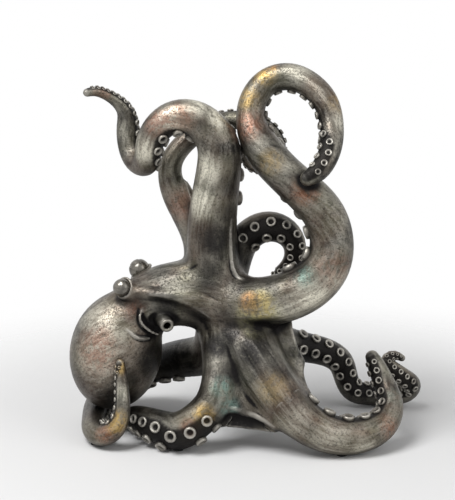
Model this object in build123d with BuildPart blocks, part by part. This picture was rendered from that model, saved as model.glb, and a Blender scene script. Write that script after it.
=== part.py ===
"""Octopus ornament in cold-cast metal: body, mantle and eight pinned arms, bead eyes and felt feet.

The animal stands on four of its curled arms. X runs to its right in the front view, Y away from the
viewer and Z up, with the origin on the table under the middle of the ornament.
"""
import os
from math import cos, radians, sin

from build123d import *

# Mantle, the egg-shaped sac behind the head
MANTLE_CENTRE = (-82.5, 2, 50)
MANTLE_RADIUS = 28
MANTLE_HALF_LENGTH = 36
MANTLE_TILT = 10
MANTLE_RINGS = 30

# Glued seam between the mantle and the head, and the way across it
MANTLE_SEAM = (-64.5, 2.2, 78.2)
MANTLE_SEAM_AXIS = (14, -1, 11)

# Bead eyes on short stalks
NEAR_EYE_CENTRE = (-77, -13, 94)
NEAR_EYE_RADIUS = 5.2
NEAR_EYE_AXIS = (-0.62, -0.72, 0.3)
FAR_EYE_CENTRE = (-68, 11, 99.5)
FAR_EYE_RADIUS = 6.2
FAR_EYE_AXIS = (-0.35, 0.5, 0.8)
EYE_CLEARANCE = 0.15
EYE_RIM_WALL = 0.9
EYE_RIM_RISE = 0.4
EYE_CUP_DEPTH = 0.7
EYE_STALK_LENGTH = 14
EYE_STALK_FLARE = 1.3

# Siphon, the breathing tube under the head
SIPHON_ROOT = (-54, -10, 76)
SIPHON_MOUTH = (-50, -23, 73.5)
SIPHON_ROOT_RADIUS = 6
SIPHON_MOUTH_RADIUS = 3.4
SIPHON_BORE_RADIUS = 1.9
SIPHON_BORE_DEPTH = 6

# Steel dowel across the glued seam between the body and each arm
DOWEL_RADIUS = 2
DOWEL_LENGTH = 14
DOWEL_CLEARANCE = 0.1
DOWEL_CHAMFER = 0.4

# Felt pads under the arms that stand on the table
FELT_THICKNESS = 1.2
FELT_RADIUS = 3

# Suckers, as shares of the arm's radius and of the sucker's own radius
SUCKER_SHARE = 0.34
SUCKER_PITCH = 3.1
SUCKER_ROW_ANGLE = 29
SUCKER_HEIGHT = 0.5
SUCKER_SEAT_DEPTH = 0.55
SUCKER_NECK = 0.85
SUCKER_LIP = 0.88
SUCKER_MOUTH = 0.66
SUCKER_FLOOR = 0.4
SUCKER_CUP_DEPTH = 0.38
SMALLEST_SUCKER = 1.2
SUCKER_STEP = 0.4
SUCKER_START = 2.2

# Rings that shape an arm between two of its stations
RINGS_PER_STATION = 3

# Rounding of an arm's tip, as a share of its radius there or of its last ring's width
TIP_ROUNDING = 0.8

# Skin stretched between neighbouring arms: root, two free corners and the sag of the free edge
WEB_THICKNESS = 4
FRONT_WEB = [(-7, -14, 62), (-22, -33, 24), (12, -37, 22)]
FRONT_WEB_SAG = 0.12
SIDE_WEB = [(-24, 2, 100), (-47, 21, 152), (-22, 1, 160)]
SIDE_WEB_SAG = 0.12

# Head, from inside the mantle to the crown of the arms: x, y, z and radius
HEAD = [
    (-75, 3, 70, 17.5),
    (-61, 2, 81, 18.5),
    (-44, 0, 87, 19.5),
    (-26, -2, 86, 20),
    (-11, -6, 83, 17),
]

# Brows, the folds of skin that run back from each eye to the crown
FAR_BROW = [
    (-66, 8, 96, 5.5),
    (-53, -3, 99.5, 4.5),
    (-40, -8, 102, 3.6),
    (-28, -7, 105, 2.5),
]
NEAR_BROW = [
    (-74, -11, 91, 5),
    (-62, -13.5, 90.5, 4.5),
    (-48, -15.5, 92, 3.6),
    (-34, -18, 90.5, 3),
    (-24, -17, 88, 2.5),
]

# Arms, each a list of x, y, z and radius from inside the crown to the tip
RING_ARM = [
    (-11.5, -8, 84, 15.6),
    (2, -16, 85.5, 15.1),
    (19.5, -22, 90.5, 14.7),
    (35.5, -24, 99.5, 14.1),
    (44.5, -24, 111.5, 13.4),
    (46.5, -22, 125, 12.8),
    (42, -19, 139.5, 12.5),
    (31, -16, 152, 12),
    (17.5, -12, 164, 11.4),
    (6, -7, 177, 11),
    (-0.5, -1, 191.5, 8.8),
    (1.5, 4, 205, 8.2),
    (10.5, 5, 215, 8),
    (22.5, 3, 217.5, 8),
    (35, -2, 212.5, 7.7),
    (43, -8, 203.5, 7.4),
    (46, -14, 192, 7),
    (45.5, -21, 181.5, 6.6),
    (41.5, -28, 172, 6.2),
    (36.5, -31.5, 166.5, 5.6),
    (31.5, -32.5, 163.5, 4.4),
]
HOOK_ARM = [
    (-22, -1, 95, 16.5),
    (-23.5, -2, 115, 15),
    (-23, -3, 136, 14.4),
    (-19.5, -5, 163.5, 13.2),
    (-19.5, -6, 177, 12.6),
    (-25, -7, 188, 11.4),
    (-35, -8, 195, 10.4),
    (-46, -8, 195, 9.6),
    (-55.5, -7, 188, 8.8),
    (-60.5, -4, 177, 8.1),
    (-63, 3, 166.5, 7.6),
    (-70.5, 14, 167.5, 6.9),
    (-74, 18, 176, 6.6),
    (-74.5, 18, 186.5, 6.4),
    (-75.5, 16, 195, 5),
    (-80.5, 13, 202, 3.8),
    (-87, 10, 206.5, 3.2),
    (-93, 7, 208.5, 2.9),
    (-97, 5, 208, 2.5),
]
SPIRAL_ARM = [
    (-27.5, 10, 98, 12.5),
    (-32, 15, 118, 10),
    (-41.5, 18.5, 135.5, 8.5),
    (-48, 21, 149, 7.6),
    (-48.5, 22, 163, 6.9),
    (-40.5, 23, 175, 6.4),
    (-29, 24, 183.5, 6.1),
    (-16, 23, 188.5, 5.8),
    (-2, 20.5, 189, 5.5),
    (10, 18, 184, 5.2),
    (16, 16, 174, 4.8),
    (11.5, 15, 165, 4.3),
    (2, 15, 162.5, 3.8),
    (-3.5, 15, 169, 3.2),
    (-1.5, 15, 176, 2.6),
    (4, 15, 178.5, 1.8),
]
COIL_ARM = [
    (-15, 14, 88, 11),
    (-10.5, 15, 101, 10),
    (-6, 15, 113, 9.5),
    (0.5, 14, 121.5, 9.4),
    (9.5, 13, 125.5, 9.3),
    (19.5, 12, 123.5, 8.5),
    (25.5, 11, 117, 7.3),
    (26.5, 10, 109, 6.4),
    (23, 10, 101.5, 5.5),
    (16, 10, 96.5, 4.4),
    (10, 10, 96, 3),
]
FRONT_FOOT_ARM = [
    (-8, -6, 73.5, 16.3),
    (-1, -18, 60, 15.8),
    (8.5, -30, 45, 14.8),
    (20, -39, 30.5, 13.5),
    (35.5, -43, 17.5, 12),
    (53, -43, 11.8, 11.2),
    (70, -38, 12.5, 10),
    (80, -30, 17, 8.6),
    (83.5, -22, 24, 7.5),
    (82, -15, 30.5, 6.9),
    (79, -10, 37, 6.3),
    (76, -7, 43.5, 5.5),
    (73.5, -5, 48.5, 4.2),
]
REAR_FOOT_ARM = [
    (-4, 8, 66, 13),
    (7, 16, 57, 11.8),
    (21.5, 26, 48.5, 10.3),
    (34.5, 34, 43, 9.5),
    (48, 40, 38, 8.9),
    (58.5, 44, 29.5, 8.3),
    (62, 44, 19.5, 7.7),
    (66, 43.5, 12, 7.4),
    (76.5, 45, 8, 7.1),
    (89.5, 46, 7.4, 6.8),
    (100, 43, 10, 6.4),
    (103, 37, 17, 6.1),
    (97.5, 31, 24, 5.7),
    (90, 28, 30.5, 5),
    (86, 28.5, 35.5, 4.1),
    (90, 31, 38.5, 3.2),
    (96, 32, 36.5, 2.2),
]
FRONT_CURL_ARM = [
    (-17.5, -10, 66, 13.5),
    (-18.5, -21, 52, 11),
    (-19.5, -29, 40.5, 10.4),
    (-24, -34, 28.5, 10.3),
    (-33, -36, 18.5, 10.9),
    (-43.5, -34, 11.9, 11.3),
    (-54.5, -28, 12, 10.2),
    (-63.5, -19, 12.5, 8.7),
    (-70, -8, 11, 7.2),
    (-75.5, 2, 8, 5.4),
    (-80, 9, 5.5, 3.6),
]
WRAP_ARM = [
    (-20, 4, 58, 14),
    (-26, 13, 46, 12.8),
    (-38, 22, 40, 12.2),
    (-54, 35, 33, 11.2),
    (-72, 43, 23, 10.4),
    (-89, 39, 13, 9.3),
    (-95.5, 20, 9.2, 8.5),
    (-96, -6, 8.2, 7.5),
    (-93.5, -24, 7.6, 6.9),
    (-87, -33, 8.8, 6.5),
    (-79.5, -36, 15, 5.6),
    (-76.5, -35, 24, 4.8),
    (-76.5, -32.5, 35.5, 4.1),
    (-77, -30.5, 45, 3.5),
    (-77.5, -30, 52.5, 2.6),
]

# Where each arm leaves the body, counted in stations
RING_SEAM = 2
HOOK_SEAM = 2
SPIRAL_SEAM = 2
COIL_SEAM = 2
FRONT_FOOT_SEAM = 3
REAR_FOOT_SEAM = 2
FRONT_CURL_SEAM = 3
WRAP_SEAM = 2

# Way that the suckers face, by share of the arm's length from its seam
RING_FACING = [
    (0, (-0.2, 0.8, 0.8)),
    (0.16, (-1, 0.5, 0.3)),
    (0.36, (-0.3, 1, -0.3)),
    (0.5, (1, 0.6, 0)),
    (0.66, (0, 0.4, -1)),
    (0.82, (-1, 0.3, 0)),
    (0.87, (-0.9, -0.3, 0.2)),
    (0.92, (-0.6, -0.7, 0.5)),
    (1, (-0.4, -0.8, 0.6)),
]
HOOK_FACING = [
    (0, (0.8, 1, 0)),
    (0.22, (0.5, 1, 0)),
    (0.36, (-0.4, 0.3, -1)),
    (0.5, (1, -0.5, -0.2)),
    (0.6, (0.8, -0.2, 0.3)),
    (0.8, (1, 0.1, 0.4)),
    (1, (0.3, 0, 1)),
]
SPIRAL_FACING = [
    (0, (0, 1, 0)),
    (0.25, (0.3, 1, 0)),
    (0.42, (0, 1, 0.2)),
    (0.55, (0, 0.4, 1)),
    (0.75, (1, 0.2, 0)),
    (0.88, (0, 0, -1)),
    (1, (-1, 0, 0)),
]
COIL_FACING = [
    (0, (0.3, -1, 0)),
    (1, (0, -1, 0)),
]
FRONT_FOOT_FACING = [
    (0, (0.4, 0.8, 0.6)),
    (0.35, (0, 0.5, 1)),
    (0.65, (-1, 0.2, 0.6)),
    (0.8, (-1, -0.5, 0)),
    (1, (-0.5, -1, 0)),
]
REAR_FOOT_FACING = [
    (0, (-0.1, -1, 0.7)),
    (0.25, (-0.4, -1, 0.4)),
    (0.42, (0.2, -0.8, 0.6)),
    (0.6, (0, -0.3, 1)),
    (0.74, (-0.5, -1, 0.4)),
    (1, (0, -1, 0)),
]
FRONT_CURL_FACING = [
    (0, (0.7, -0.6, -0.2)),
    (0.25, (0.4, -0.9, -0.25)),
    (0.6, (0.1, -1, -0.05)),
    (1, (-0.4, -0.9, 0.2)),
]
WRAP_FACING = [
    (0, (0, 0.2, -1)),
    (0.3, (0.6, -0.4, -0.4)),
    (0.6, (1, 0, -0.4)),
    (0.74, (0.6, 0.3, 0.8)),
    (0.84, (-1, 0.3, 0.4)),
    (0.95, (-1, 0.2, 0)),
    (1, (-0.6, -1, 0.2)),
]

# Where felt pads lie under the arms: x and y
FRONT_FOOT_PADS = [(53, -43)]
REAR_FOOT_PADS = [(89.5, 46)]
FRONT_CURL_PADS = [(-43.5, -34)]
WRAP_PADS = [(-93.5, -24), (-95.5, 18)]


def centre_line(stations):
    """Smooth curve through the stations of an arm."""
    with BuildLine() as route:
        Spline(*[station[:3] for station in stations])
    return route.edge()


def facing_at(facing, share):
    """Way that the suckers face at a share of the arm's length from its seam."""
    ways = [(mark, Vector(*way)) for mark, way in facing]
    return blend(ways, max(share, 0))


def limb_rings(stations, first, last):
    """Planes and radii of the rings between two stations, square to the centre-line and not twisted."""
    line = centre_line(stations)
    marks = [line.param_at_point(station[:3]) for station in stations]
    radii = [(mark, station[3]) for mark, station in zip(marks, stations)]
    across = Vector(0, 0, 1)
    rings = []
    for number in range(first * RINGS_PER_STATION, last * RINGS_PER_STATION + 1):
        station, part_way = divmod(number, RINGS_PER_STATION)
        mark = marks[station]
        if part_way:
            mark += (marks[station + 1] - mark) * part_way / RINGS_PER_STATION
        along = line % mark
        across = (across - along * across.dot(along)).normalized()
        rings.append((Plane(origin=line @ mark, x_dir=across, z_dir=along), blend(radii, mark)))
    return rings


def tapered_limb(rings):
    """Round limb through its rings."""
    with BuildPart() as limb:
        for plane, radius in rings:
            with BuildSketch(plane):
                Circle(radius)
        loft(ruled=True)
    return limb.part


def blend(pairs, share):
    """Value between hand-set pairs of a share and a number or a vector."""
    for (low, before), (high, after) in zip(pairs, pairs[1:]):
        if share <= high:
            part_way = (share - low) / (high - low)
            return before + (after - before) * part_way
    return pairs[-1][1]


def sucker(seat, radius):
    """One sucker: a flared cup with a sunken mouth, let into the arm."""
    rim = radius * SUCKER_HEIGHT
    floor = rim - radius * SUCKER_CUP_DEPTH
    base = -radius * SUCKER_SEAT_DEPTH
    with BuildPart() as cup:
        with BuildSketch(Plane.XZ):
            with BuildLine():
                Polyline(
                    (0, floor),
                    (0, base),
                    (radius * SUCKER_NECK, base),
                    (radius, rim / 2),
                    (radius * SUCKER_LIP, rim),
                    (radius * SUCKER_MOUTH, rim),
                    (radius * SUCKER_FLOOR, floor),
                    close=True,
                )
            make_face()
        revolve(axis=Axis.Z)
    return seat * cup.part


def sucker_rows(stations, seam, facing):
    """Two rows of suckers that shrink with the arm from its seam to its tip, spaced where they stand."""
    line = centre_line(stations)
    marks = [line.param_at_point(station[:3]) for station in stations]
    radii = [(mark, station[3]) for mark, station in zip(marks, stations)]
    start = marks[seam]
    suckers = []
    for side in (-1, 1):
        last = line @ 0
        mark = start + SUCKER_START * SUCKER_SHARE * stations[seam][3] / line.length
        while mark < 1 - SUCKER_SHARE * stations[-1][3] / line.length:
            radius = blend(radii, mark)
            size = radius * SUCKER_SHARE
            along = line % mark
            way = facing_at(facing, (mark - start) / (1 - start))
            way = (way - along * way.dot(along)).normalized()
            out = way.rotate(Axis((0, 0, 0), along), side * SUCKER_ROW_ANGLE)
            place = line @ mark + out * radius
            if size > SMALLEST_SUCKER and (place - last).length > SUCKER_PITCH * size:
                suckers.append(sucker(Plane(origin=place, x_dir=along, z_dir=out), size))
                last = place
            mark += SUCKER_STEP / line.length
    return suckers


def dowel_bore(plane):
    """Blind hole for a dowel, half on each side of the seam."""
    return plane * Cylinder(DOWEL_RADIUS + DOWEL_CLEARANCE, DOWEL_LENGTH + 2 * DOWEL_CLEARANCE)


def make_arm(name, limb, tip_room, suckers, bore, pads):
    """Arm from its seam to its rounded tip, with suckers, a dowel hole and flats over its felt pads."""
    with BuildPart() as arm:
        add(limb)
        tip = arm.faces().filter_by(GeomType.PLANE).sort_by(SortBy.AREA)[0]
        fillet(tip.edges(), tip_room * TIP_ROUNDING)
        add(suckers, clean=False)
        add(bore, mode=Mode.SUBTRACT, clean=False)
        if pads:
            split(bisect_by=Plane.XY.offset(FELT_THICKNESS), keep=Keep.TOP)
    arm.part.label = name
    export_step(arm.part, f"parts/{name}.step")


def make_dowel(name, plane):
    """Steel dowel that carries an arm across its glued seam."""
    with BuildPart() as dowel:
        with BuildSketch(plane.offset(-DOWEL_LENGTH / 2)):
            Circle(DOWEL_RADIUS)
        extrude(amount=DOWEL_LENGTH)
        chamfer(dowel.edges().filter_by(GeomType.CIRCLE), DOWEL_CHAMFER)
    dowel.part.label = name
    export_step(dowel.part, f"parts/{name}.step")


def make_pad(name, place):
    """Felt pad glued under an arm."""
    with BuildPart() as pad:
        with BuildSketch():
            with Locations(place):
                Circle(FELT_RADIUS)
        extrude(amount=FELT_THICKNESS)
    pad.part.label = name
    export_step(pad.part, f"parts/{name}.step")


def make_eye(name, centre, radius):
    """Polished bead set into the cup of its stalk."""
    with BuildPart() as eye:
        with Locations(centre):
            Sphere(radius)
    eye.part.label = name
    export_step(eye.part, f"parts/{name}.step")


def eye_stalk(centre, radius, axis):
    """Stalk under an eye, widening into a rim round the bead."""
    rim = Plane(origin=centre, z_dir=axis).offset(EYE_RIM_RISE)
    with BuildPart() as stalk:
        with BuildSketch(rim):
            Circle(radius + EYE_CLEARANCE + EYE_RIM_WALL)
        with BuildSketch(rim.offset(-EYE_CUP_DEPTH * radius)):
            Circle(radius + EYE_RIM_WALL)
        with BuildSketch(rim.offset(-EYE_STALK_LENGTH)):
            Circle(radius * EYE_STALK_FLARE)
        loft()
    return stalk.part


def web(corners, sag):
    """Skin between two arms: a thin sheet with one free edge that curves in by the sag."""
    root, left, right = [Vector(*corner) for corner in corners]
    sheet = Plane(origin=root, x_dir=right - left, z_dir=(left - root).cross(right - root))
    start, end = sheet.to_local_coords(left), sheet.to_local_coords(right)
    inward = (start + end) * 0.5 * (1 - sag)
    with BuildPart() as skin:
        with BuildSketch(sheet):
            with BuildLine():
                Polyline((end.X, end.Y), (0, 0), (start.X, start.Y))
                ThreePointArc((start.X, start.Y), (inward.X, inward.Y), (end.X, end.Y))
            make_face()
        extrude(amount=WEB_THICKNESS / 2, both=True)
    return skin.part


def siphon_tube():
    """Breathing tube, open at its mouth."""
    root = Vector(*SIPHON_ROOT)
    mouth = Vector(*SIPHON_MOUTH)
    way = (mouth - root).normalized()
    with BuildPart() as tube:
        with BuildSketch(Plane(origin=root, z_dir=way)):
            Circle(SIPHON_ROOT_RADIUS)
        with BuildSketch(Plane(origin=mouth, z_dir=way)):
            Circle(SIPHON_MOUTH_RADIUS)
        loft()
        with BuildSketch(Plane(origin=mouth, z_dir=way)):
            Circle(SIPHON_BORE_RADIUS)
        extrude(amount=-SIPHON_BORE_DEPTH, mode=Mode.SUBTRACT)
    return tube.part


def mantle_sac():
    """Egg-shaped sac, leaning towards the head."""
    lean = radians(MANTLE_TILT)
    middle = Plane(origin=MANTLE_CENTRE, z_dir=(sin(lean), 0, cos(lean)))
    with BuildPart() as sac:
        for ring in range(1, MANTLE_RINGS):
            polar = radians(180 * ring / MANTLE_RINGS)
            with BuildSketch(middle.offset(-MANTLE_HALF_LENGTH * cos(polar))):
                Circle(MANTLE_RADIUS * sin(polar))
        loft(ruled=True)
    return sac.part


ARMS = {
    "ring_arm": (RING_ARM, RING_SEAM, RING_FACING, []),
    "hook_arm": (HOOK_ARM, HOOK_SEAM, HOOK_FACING, []),
    "spiral_arm": (SPIRAL_ARM, SPIRAL_SEAM, SPIRAL_FACING, []),
    "coil_arm": (COIL_ARM, COIL_SEAM, COIL_FACING, []),
    "front_foot_arm": (FRONT_FOOT_ARM, FRONT_FOOT_SEAM, FRONT_FOOT_FACING, FRONT_FOOT_PADS),
    "rear_foot_arm": (REAR_FOOT_ARM, REAR_FOOT_SEAM, REAR_FOOT_FACING, REAR_FOOT_PADS),
    "front_curl_arm": (FRONT_CURL_ARM, FRONT_CURL_SEAM, FRONT_CURL_FACING, FRONT_CURL_PADS),
    "mantle_wrap_arm": (WRAP_ARM, WRAP_SEAM, WRAP_FACING, WRAP_PADS),
}

os.makedirs("parts", exist_ok=True)

# Arms, each with its dowel and felt pads
roots = []
limbs = []
bores = []
for arm_name, (stations, seam, facing, pads) in ARMS.items():
    rings = limb_rings(stations, 0, len(stations) - 1)
    first = seam * RINGS_PER_STATION
    seam_plane = rings[first][0]
    roots.append(tapered_limb(rings[: first + 1]))
    limbs.append(tapered_limb(rings[first:]))
    bores.append(dowel_bore(seam_plane))
    tip_room = min(stations[-1][3], (rings[-1][0].origin - rings[-2][0].origin).length)
    make_arm(arm_name, limbs[-1], tip_room, sucker_rows(stations, seam, facing), bores[-1], pads)
    make_dowel(arm_name.replace("_arm", "_dowel"), seam_plane)
    for number, place in enumerate(pads, 1):
        make_pad(arm_name.replace("_arm", f"_pad_{number}"), place)

make_eye("near_eye", NEAR_EYE_CENTRE, NEAR_EYE_RADIUS)
make_eye("far_eye", FAR_EYE_CENTRE, FAR_EYE_RADIUS)

# Mantle, pinned to the head and lying on the arms that curl under it
sac = mantle_sac()
mantle_seam = Plane(origin=MANTLE_SEAM, z_dir=MANTLE_SEAM_AXIS)
bores.append(dowel_bore(mantle_seam))
make_dowel("mantle_dowel", mantle_seam)
with BuildPart() as mantle_casting:
    add(sac)
    add(limbs + [bores[-1]], mode=Mode.SUBTRACT, clean=False)
mantle_casting.part.label = "mantle_casting"
export_step(mantle_casting.part, "parts/mantle_casting.step")

# Body casting: the head and crown, the roots of the arms and the skin between them
forms = roots + [siphon_tube(), web(FRONT_WEB, FRONT_WEB_SAG), web(SIDE_WEB, SIDE_WEB_SAG)]
for stations in (HEAD, FAR_BROW, NEAR_BROW):
    forms.append(tapered_limb(limb_rings(stations, 0, len(stations) - 1)))
forms.append(eye_stalk(NEAR_EYE_CENTRE, NEAR_EYE_RADIUS, NEAR_EYE_AXIS))
forms.append(eye_stalk(FAR_EYE_CENTRE, FAR_EYE_RADIUS, FAR_EYE_AXIS))

with BuildPart() as body_casting:
    add(forms, clean=False)
    add(limbs + [sac], mode=Mode.SUBTRACT, clean=False)
    add(bores, mode=Mode.SUBTRACT, clean=False)
    with Locations(NEAR_EYE_CENTRE):
        Sphere(NEAR_EYE_RADIUS + EYE_CLEARANCE, mode=Mode.SUBTRACT)
    with Locations(FAR_EYE_CENTRE):
        Sphere(FAR_EYE_RADIUS + EYE_CLEARANCE, mode=Mode.SUBTRACT)
body_casting.part.label = "body_casting"
export_step(body_casting.part, "parts/body_casting.step")
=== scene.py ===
"""Octopus ornament: sculpted cold-cast metal with an antiqued patina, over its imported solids."""

import math

import bmesh
import bpy
import numpy as np
import openvdb
from mathutils import Matrix, Vector


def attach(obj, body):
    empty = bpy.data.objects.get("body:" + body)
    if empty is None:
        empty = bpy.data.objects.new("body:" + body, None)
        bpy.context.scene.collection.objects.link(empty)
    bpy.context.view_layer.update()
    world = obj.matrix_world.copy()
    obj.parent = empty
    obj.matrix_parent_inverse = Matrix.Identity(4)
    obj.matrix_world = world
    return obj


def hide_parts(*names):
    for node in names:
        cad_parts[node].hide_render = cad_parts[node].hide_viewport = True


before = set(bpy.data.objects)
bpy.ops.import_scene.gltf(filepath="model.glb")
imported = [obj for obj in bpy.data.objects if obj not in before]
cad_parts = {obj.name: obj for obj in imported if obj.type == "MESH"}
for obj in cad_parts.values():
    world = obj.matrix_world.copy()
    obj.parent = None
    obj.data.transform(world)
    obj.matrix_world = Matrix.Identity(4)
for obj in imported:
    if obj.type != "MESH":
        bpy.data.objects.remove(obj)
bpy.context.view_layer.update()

bl_info = {
    "name": "Octopus ornament",
    "version": (1, 0, 0),
    "blender": (4, 5, 0),
    "location": "View3D > Sidebar > Octopus",
    "description": "Sculpts and finishes a cold-cast octopus ornament over its solids",
    "category": "Object",
}

# All places below are in millimetres, in the frame of the solids
MM = 0.001
BODY = "root"

# Arms, each a list of x, y, z and radius from inside the crown to the tip
RING_ARM = [
    (-11.5, -8, 84, 15.6),
    (2, -16, 85.5, 15.1),
    (19.5, -22, 90.5, 14.7),
    (35.5, -24, 99.5, 14.1),
    (44.5, -24, 111.5, 13.4),
    (46.5, -22, 125, 12.8),
    (42, -19, 139.5, 12.5),
    (31, -16, 152, 12),
    (17.5, -12, 164, 11.4),
    (6, -7, 177, 11),
    (-0.5, -1, 191.5, 8.8),
    (1.5, 4, 205, 8.2),
    (10.5, 5, 215, 8),
    (22.5, 3, 217.5, 8),
    (35, -2, 212.5, 7.7),
    (43, -8, 203.5, 7.4),
    (46, -14, 192, 7),
    (45.5, -21, 181.5, 6.6),
    (41.5, -28, 172, 6.2),
    (36.5, -31.5, 166.5, 5.6),
    (31.5, -32.5, 163.5, 4.4),
]
HOOK_ARM = [
    (-22, -1, 95, 16.5),
    (-23.5, -2, 115, 15),
    (-23, -3, 136, 14.4),
    (-19.5, -5, 163.5, 13.2),
    (-19.5, -6, 177, 12.6),
    (-25, -7, 188, 11.4),
    (-35, -8, 195, 10.4),
    (-46, -8, 195, 9.6),
    (-55.5, -7, 188, 8.8),
    (-60.5, -4, 177, 8.1),
    (-63, 3, 166.5, 7.6),
    (-70.5, 14, 167.5, 6.9),
    (-74, 18, 176, 6.6),
    (-74.5, 18, 186.5, 6.4),
    (-75.5, 16, 195, 5),
    (-80.5, 13, 202, 3.8),
    (-87, 10, 206.5, 3.2),
    (-93, 7, 208.5, 2.9),
    (-97, 5, 208, 2.5),
]
SPIRAL_ARM = [
    (-27.5, 10, 98, 12.5),
    (-32, 15, 118, 10),
    (-41.5, 18.5, 135.5, 8.5),
    (-48, 21, 149, 7.6),
    (-48.5, 22, 163, 6.9),
    (-40.5, 23, 175, 6.4),
    (-29, 24, 183.5, 6.1),
    (-16, 23, 188.5, 5.8),
    (-2, 20.5, 189, 5.5),
    (10, 18, 184, 5.2),
    (16, 16, 174, 4.8),
    (11.5, 15, 165, 4.3),
    (2, 15, 162.5, 3.8),
    (-3.5, 15, 169, 3.2),
    (-1.5, 15, 176, 2.6),
    (4, 15, 178.5, 1.8),
]
COIL_ARM = [
    (-15, 14, 88, 11),
    (-10.5, 15, 101, 10),
    (-6, 15, 113, 9.5),
    (0.5, 14, 121.5, 9.4),
    (9.5, 13, 125.5, 9.3),
    (19.5, 12, 123.5, 8.5),
    (25.5, 11, 117, 7.3),
    (26.5, 10, 109, 6.4),
    (23, 10, 101.5, 5.5),
    (16, 10, 96.5, 4.4),
    (10, 10, 96, 3),
]
FRONT_FOOT_ARM = [
    (-8, -6, 73.5, 16.3),
    (-1, -18, 60, 15.8),
    (8.5, -30, 45, 14.8),
    (20, -39, 30.5, 13.5),
    (35.5, -43, 17.5, 12),
    (53, -43, 11.8, 11.2),
    (70, -38, 12.5, 10),
    (80, -30, 17, 8.6),
    (83.5, -22, 24, 7.5),
    (82, -15, 30.5, 6.9),
    (79, -10, 37, 6.3),
    (76, -7, 43.5, 5.5),
    (73.5, -5, 48.5, 4.2),
]
REAR_FOOT_ARM = [
    (-4, 8, 66, 13),
    (7, 16, 57, 11.8),
    (21.5, 26, 48.5, 10.3),
    (34.5, 34, 43, 9.5),
    (48, 40, 38, 8.9),
    (58.5, 44, 29.5, 8.3),
    (62, 44, 19.5, 7.7),
    (66, 43.5, 12, 7.4),
    (76.5, 45, 8, 7.1),
    (89.5, 46, 7.4, 6.8),
    (100, 43, 10, 6.4),
    (103, 37, 17, 6.1),
    (97.5, 31, 24, 5.7),
    (90, 28, 30.5, 5),
    (86, 28.5, 35.5, 4.1),
    (90, 31, 38.5, 3.2),
    (96, 32, 36.5, 2.2),
]
FRONT_CURL_ARM = [
    (-17.5, -10, 66, 13.5),
    (-18.5, -21, 52, 11),
    (-19.5, -29, 40.5, 10.4),
    (-24, -34, 28.5, 10.3),
    (-33, -36, 18.5, 10.9),
    (-43.5, -34, 11.9, 11.3),
    (-54.5, -28, 12, 10.2),
    (-63.5, -19, 12.5, 8.7),
    (-70, -8, 11, 7.2),
    (-75.5, 2, 8, 5.4),
    (-80, 9, 5.5, 3.6),
]
WRAP_ARM = [
    (-20, 4, 58, 14),
    (-26, 13, 46, 12.8),
    (-38, 22, 40, 12.2),
    (-54, 35, 33, 11.2),
    (-72, 43, 23, 10.4),
    (-89, 39, 13, 9.3),
    (-95.5, 20, 9.2, 8.5),
    (-96, -6, 8.2, 7.5),
    (-93.5, -24, 7.6, 6.9),
    (-87, -33, 8.8, 6.5),
    (-79.5, -36, 15, 5.6),
    (-76.5, -35, 24, 4.8),
    (-76.5, -32.5, 35.5, 4.1),
    (-77, -30.5, 45, 3.5),
    (-77.5, -30, 52.5, 2.6),
]

# Way that the suckers face, by share of the arm's length from its seam
RING_FACING = [
    (0, (-0.2, 0.8, 0.8)),
    (0.16, (-1, 0.5, 0.3)),
    (0.36, (-0.3, 1, -0.3)),
    (0.5, (1, 0.6, 0)),
    (0.66, (0, 0.4, -1)),
    (0.82, (-1, 0.5, 0)),
    (0.87, (-0.9, 0.2, 0.2)),
    (0.91, (-0.6, -0.8, 0.5)),
    (1, (-0.4, -0.9, 0.5)),
]
HOOK_FACING = [
    (0, (0.8, 1, 0)),
    (0.22, (0.5, 1, 0)),
    (0.36, (-0.4, 0.3, -1)),
    (0.5, (1, -0.5, -0.2)),
    (0.6, (0.8, -0.2, 0.3)),
    (0.8, (1, 0.1, 0.4)),
    (1, (0.3, 0, 1)),
]
SPIRAL_FACING = [
    (0, (0, 1, 0)),
    (0.25, (0.3, 1, 0)),
    (0.42, (0, 1, 0.2)),
    (0.55, (0, 0.4, 1)),
    (0.75, (1, 0.2, 0)),
    (0.88, (0, 0, -1)),
    (1, (-1, 0, 0)),
]
COIL_FACING = [
    (0, (0.3, -1, 0)),
    (1, (0, -1, 0)),
]
FRONT_FOOT_FACING = [
    (0, (0.4, 0.8, 0.6)),
    (0.35, (0, 0.5, 1)),
    (0.65, (-1, 0.2, 0.6)),
    (0.8, (-1, -0.5, 0)),
    (1, (-0.5, -1, 0)),
]
REAR_FOOT_FACING = [
    (0, (-0.1, -1, 0.7)),
    (0.25, (-0.4, -1, 0.4)),
    (0.42, (0.2, -0.8, 0.6)),
    (0.6, (0, -0.3, 1)),
    (0.74, (-0.5, -1, 0.4)),
    (1, (0, -1, 0)),
]
FRONT_CURL_FACING = [
    (0, (0.7, -0.6, -0.2)),
    (0.25, (0.4, -0.9, -0.25)),
    (0.6, (0.1, -1, -0.05)),
    (1, (-0.4, -0.9, 0.2)),
]
WRAP_FACING = [
    (0, (0, 0.2, -1)),
    (0.3, (0.6, -0.4, -0.4)),
    (0.6, (1, 0, -0.4)),
    (0.74, (0.6, 0.3, 0.8)),
    (0.84, (-1, 0.3, 0.4)),
    (0.95, (-1, 0.2, 0)),
    (1, (-0.6, -1, 0.2)),
]

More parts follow.
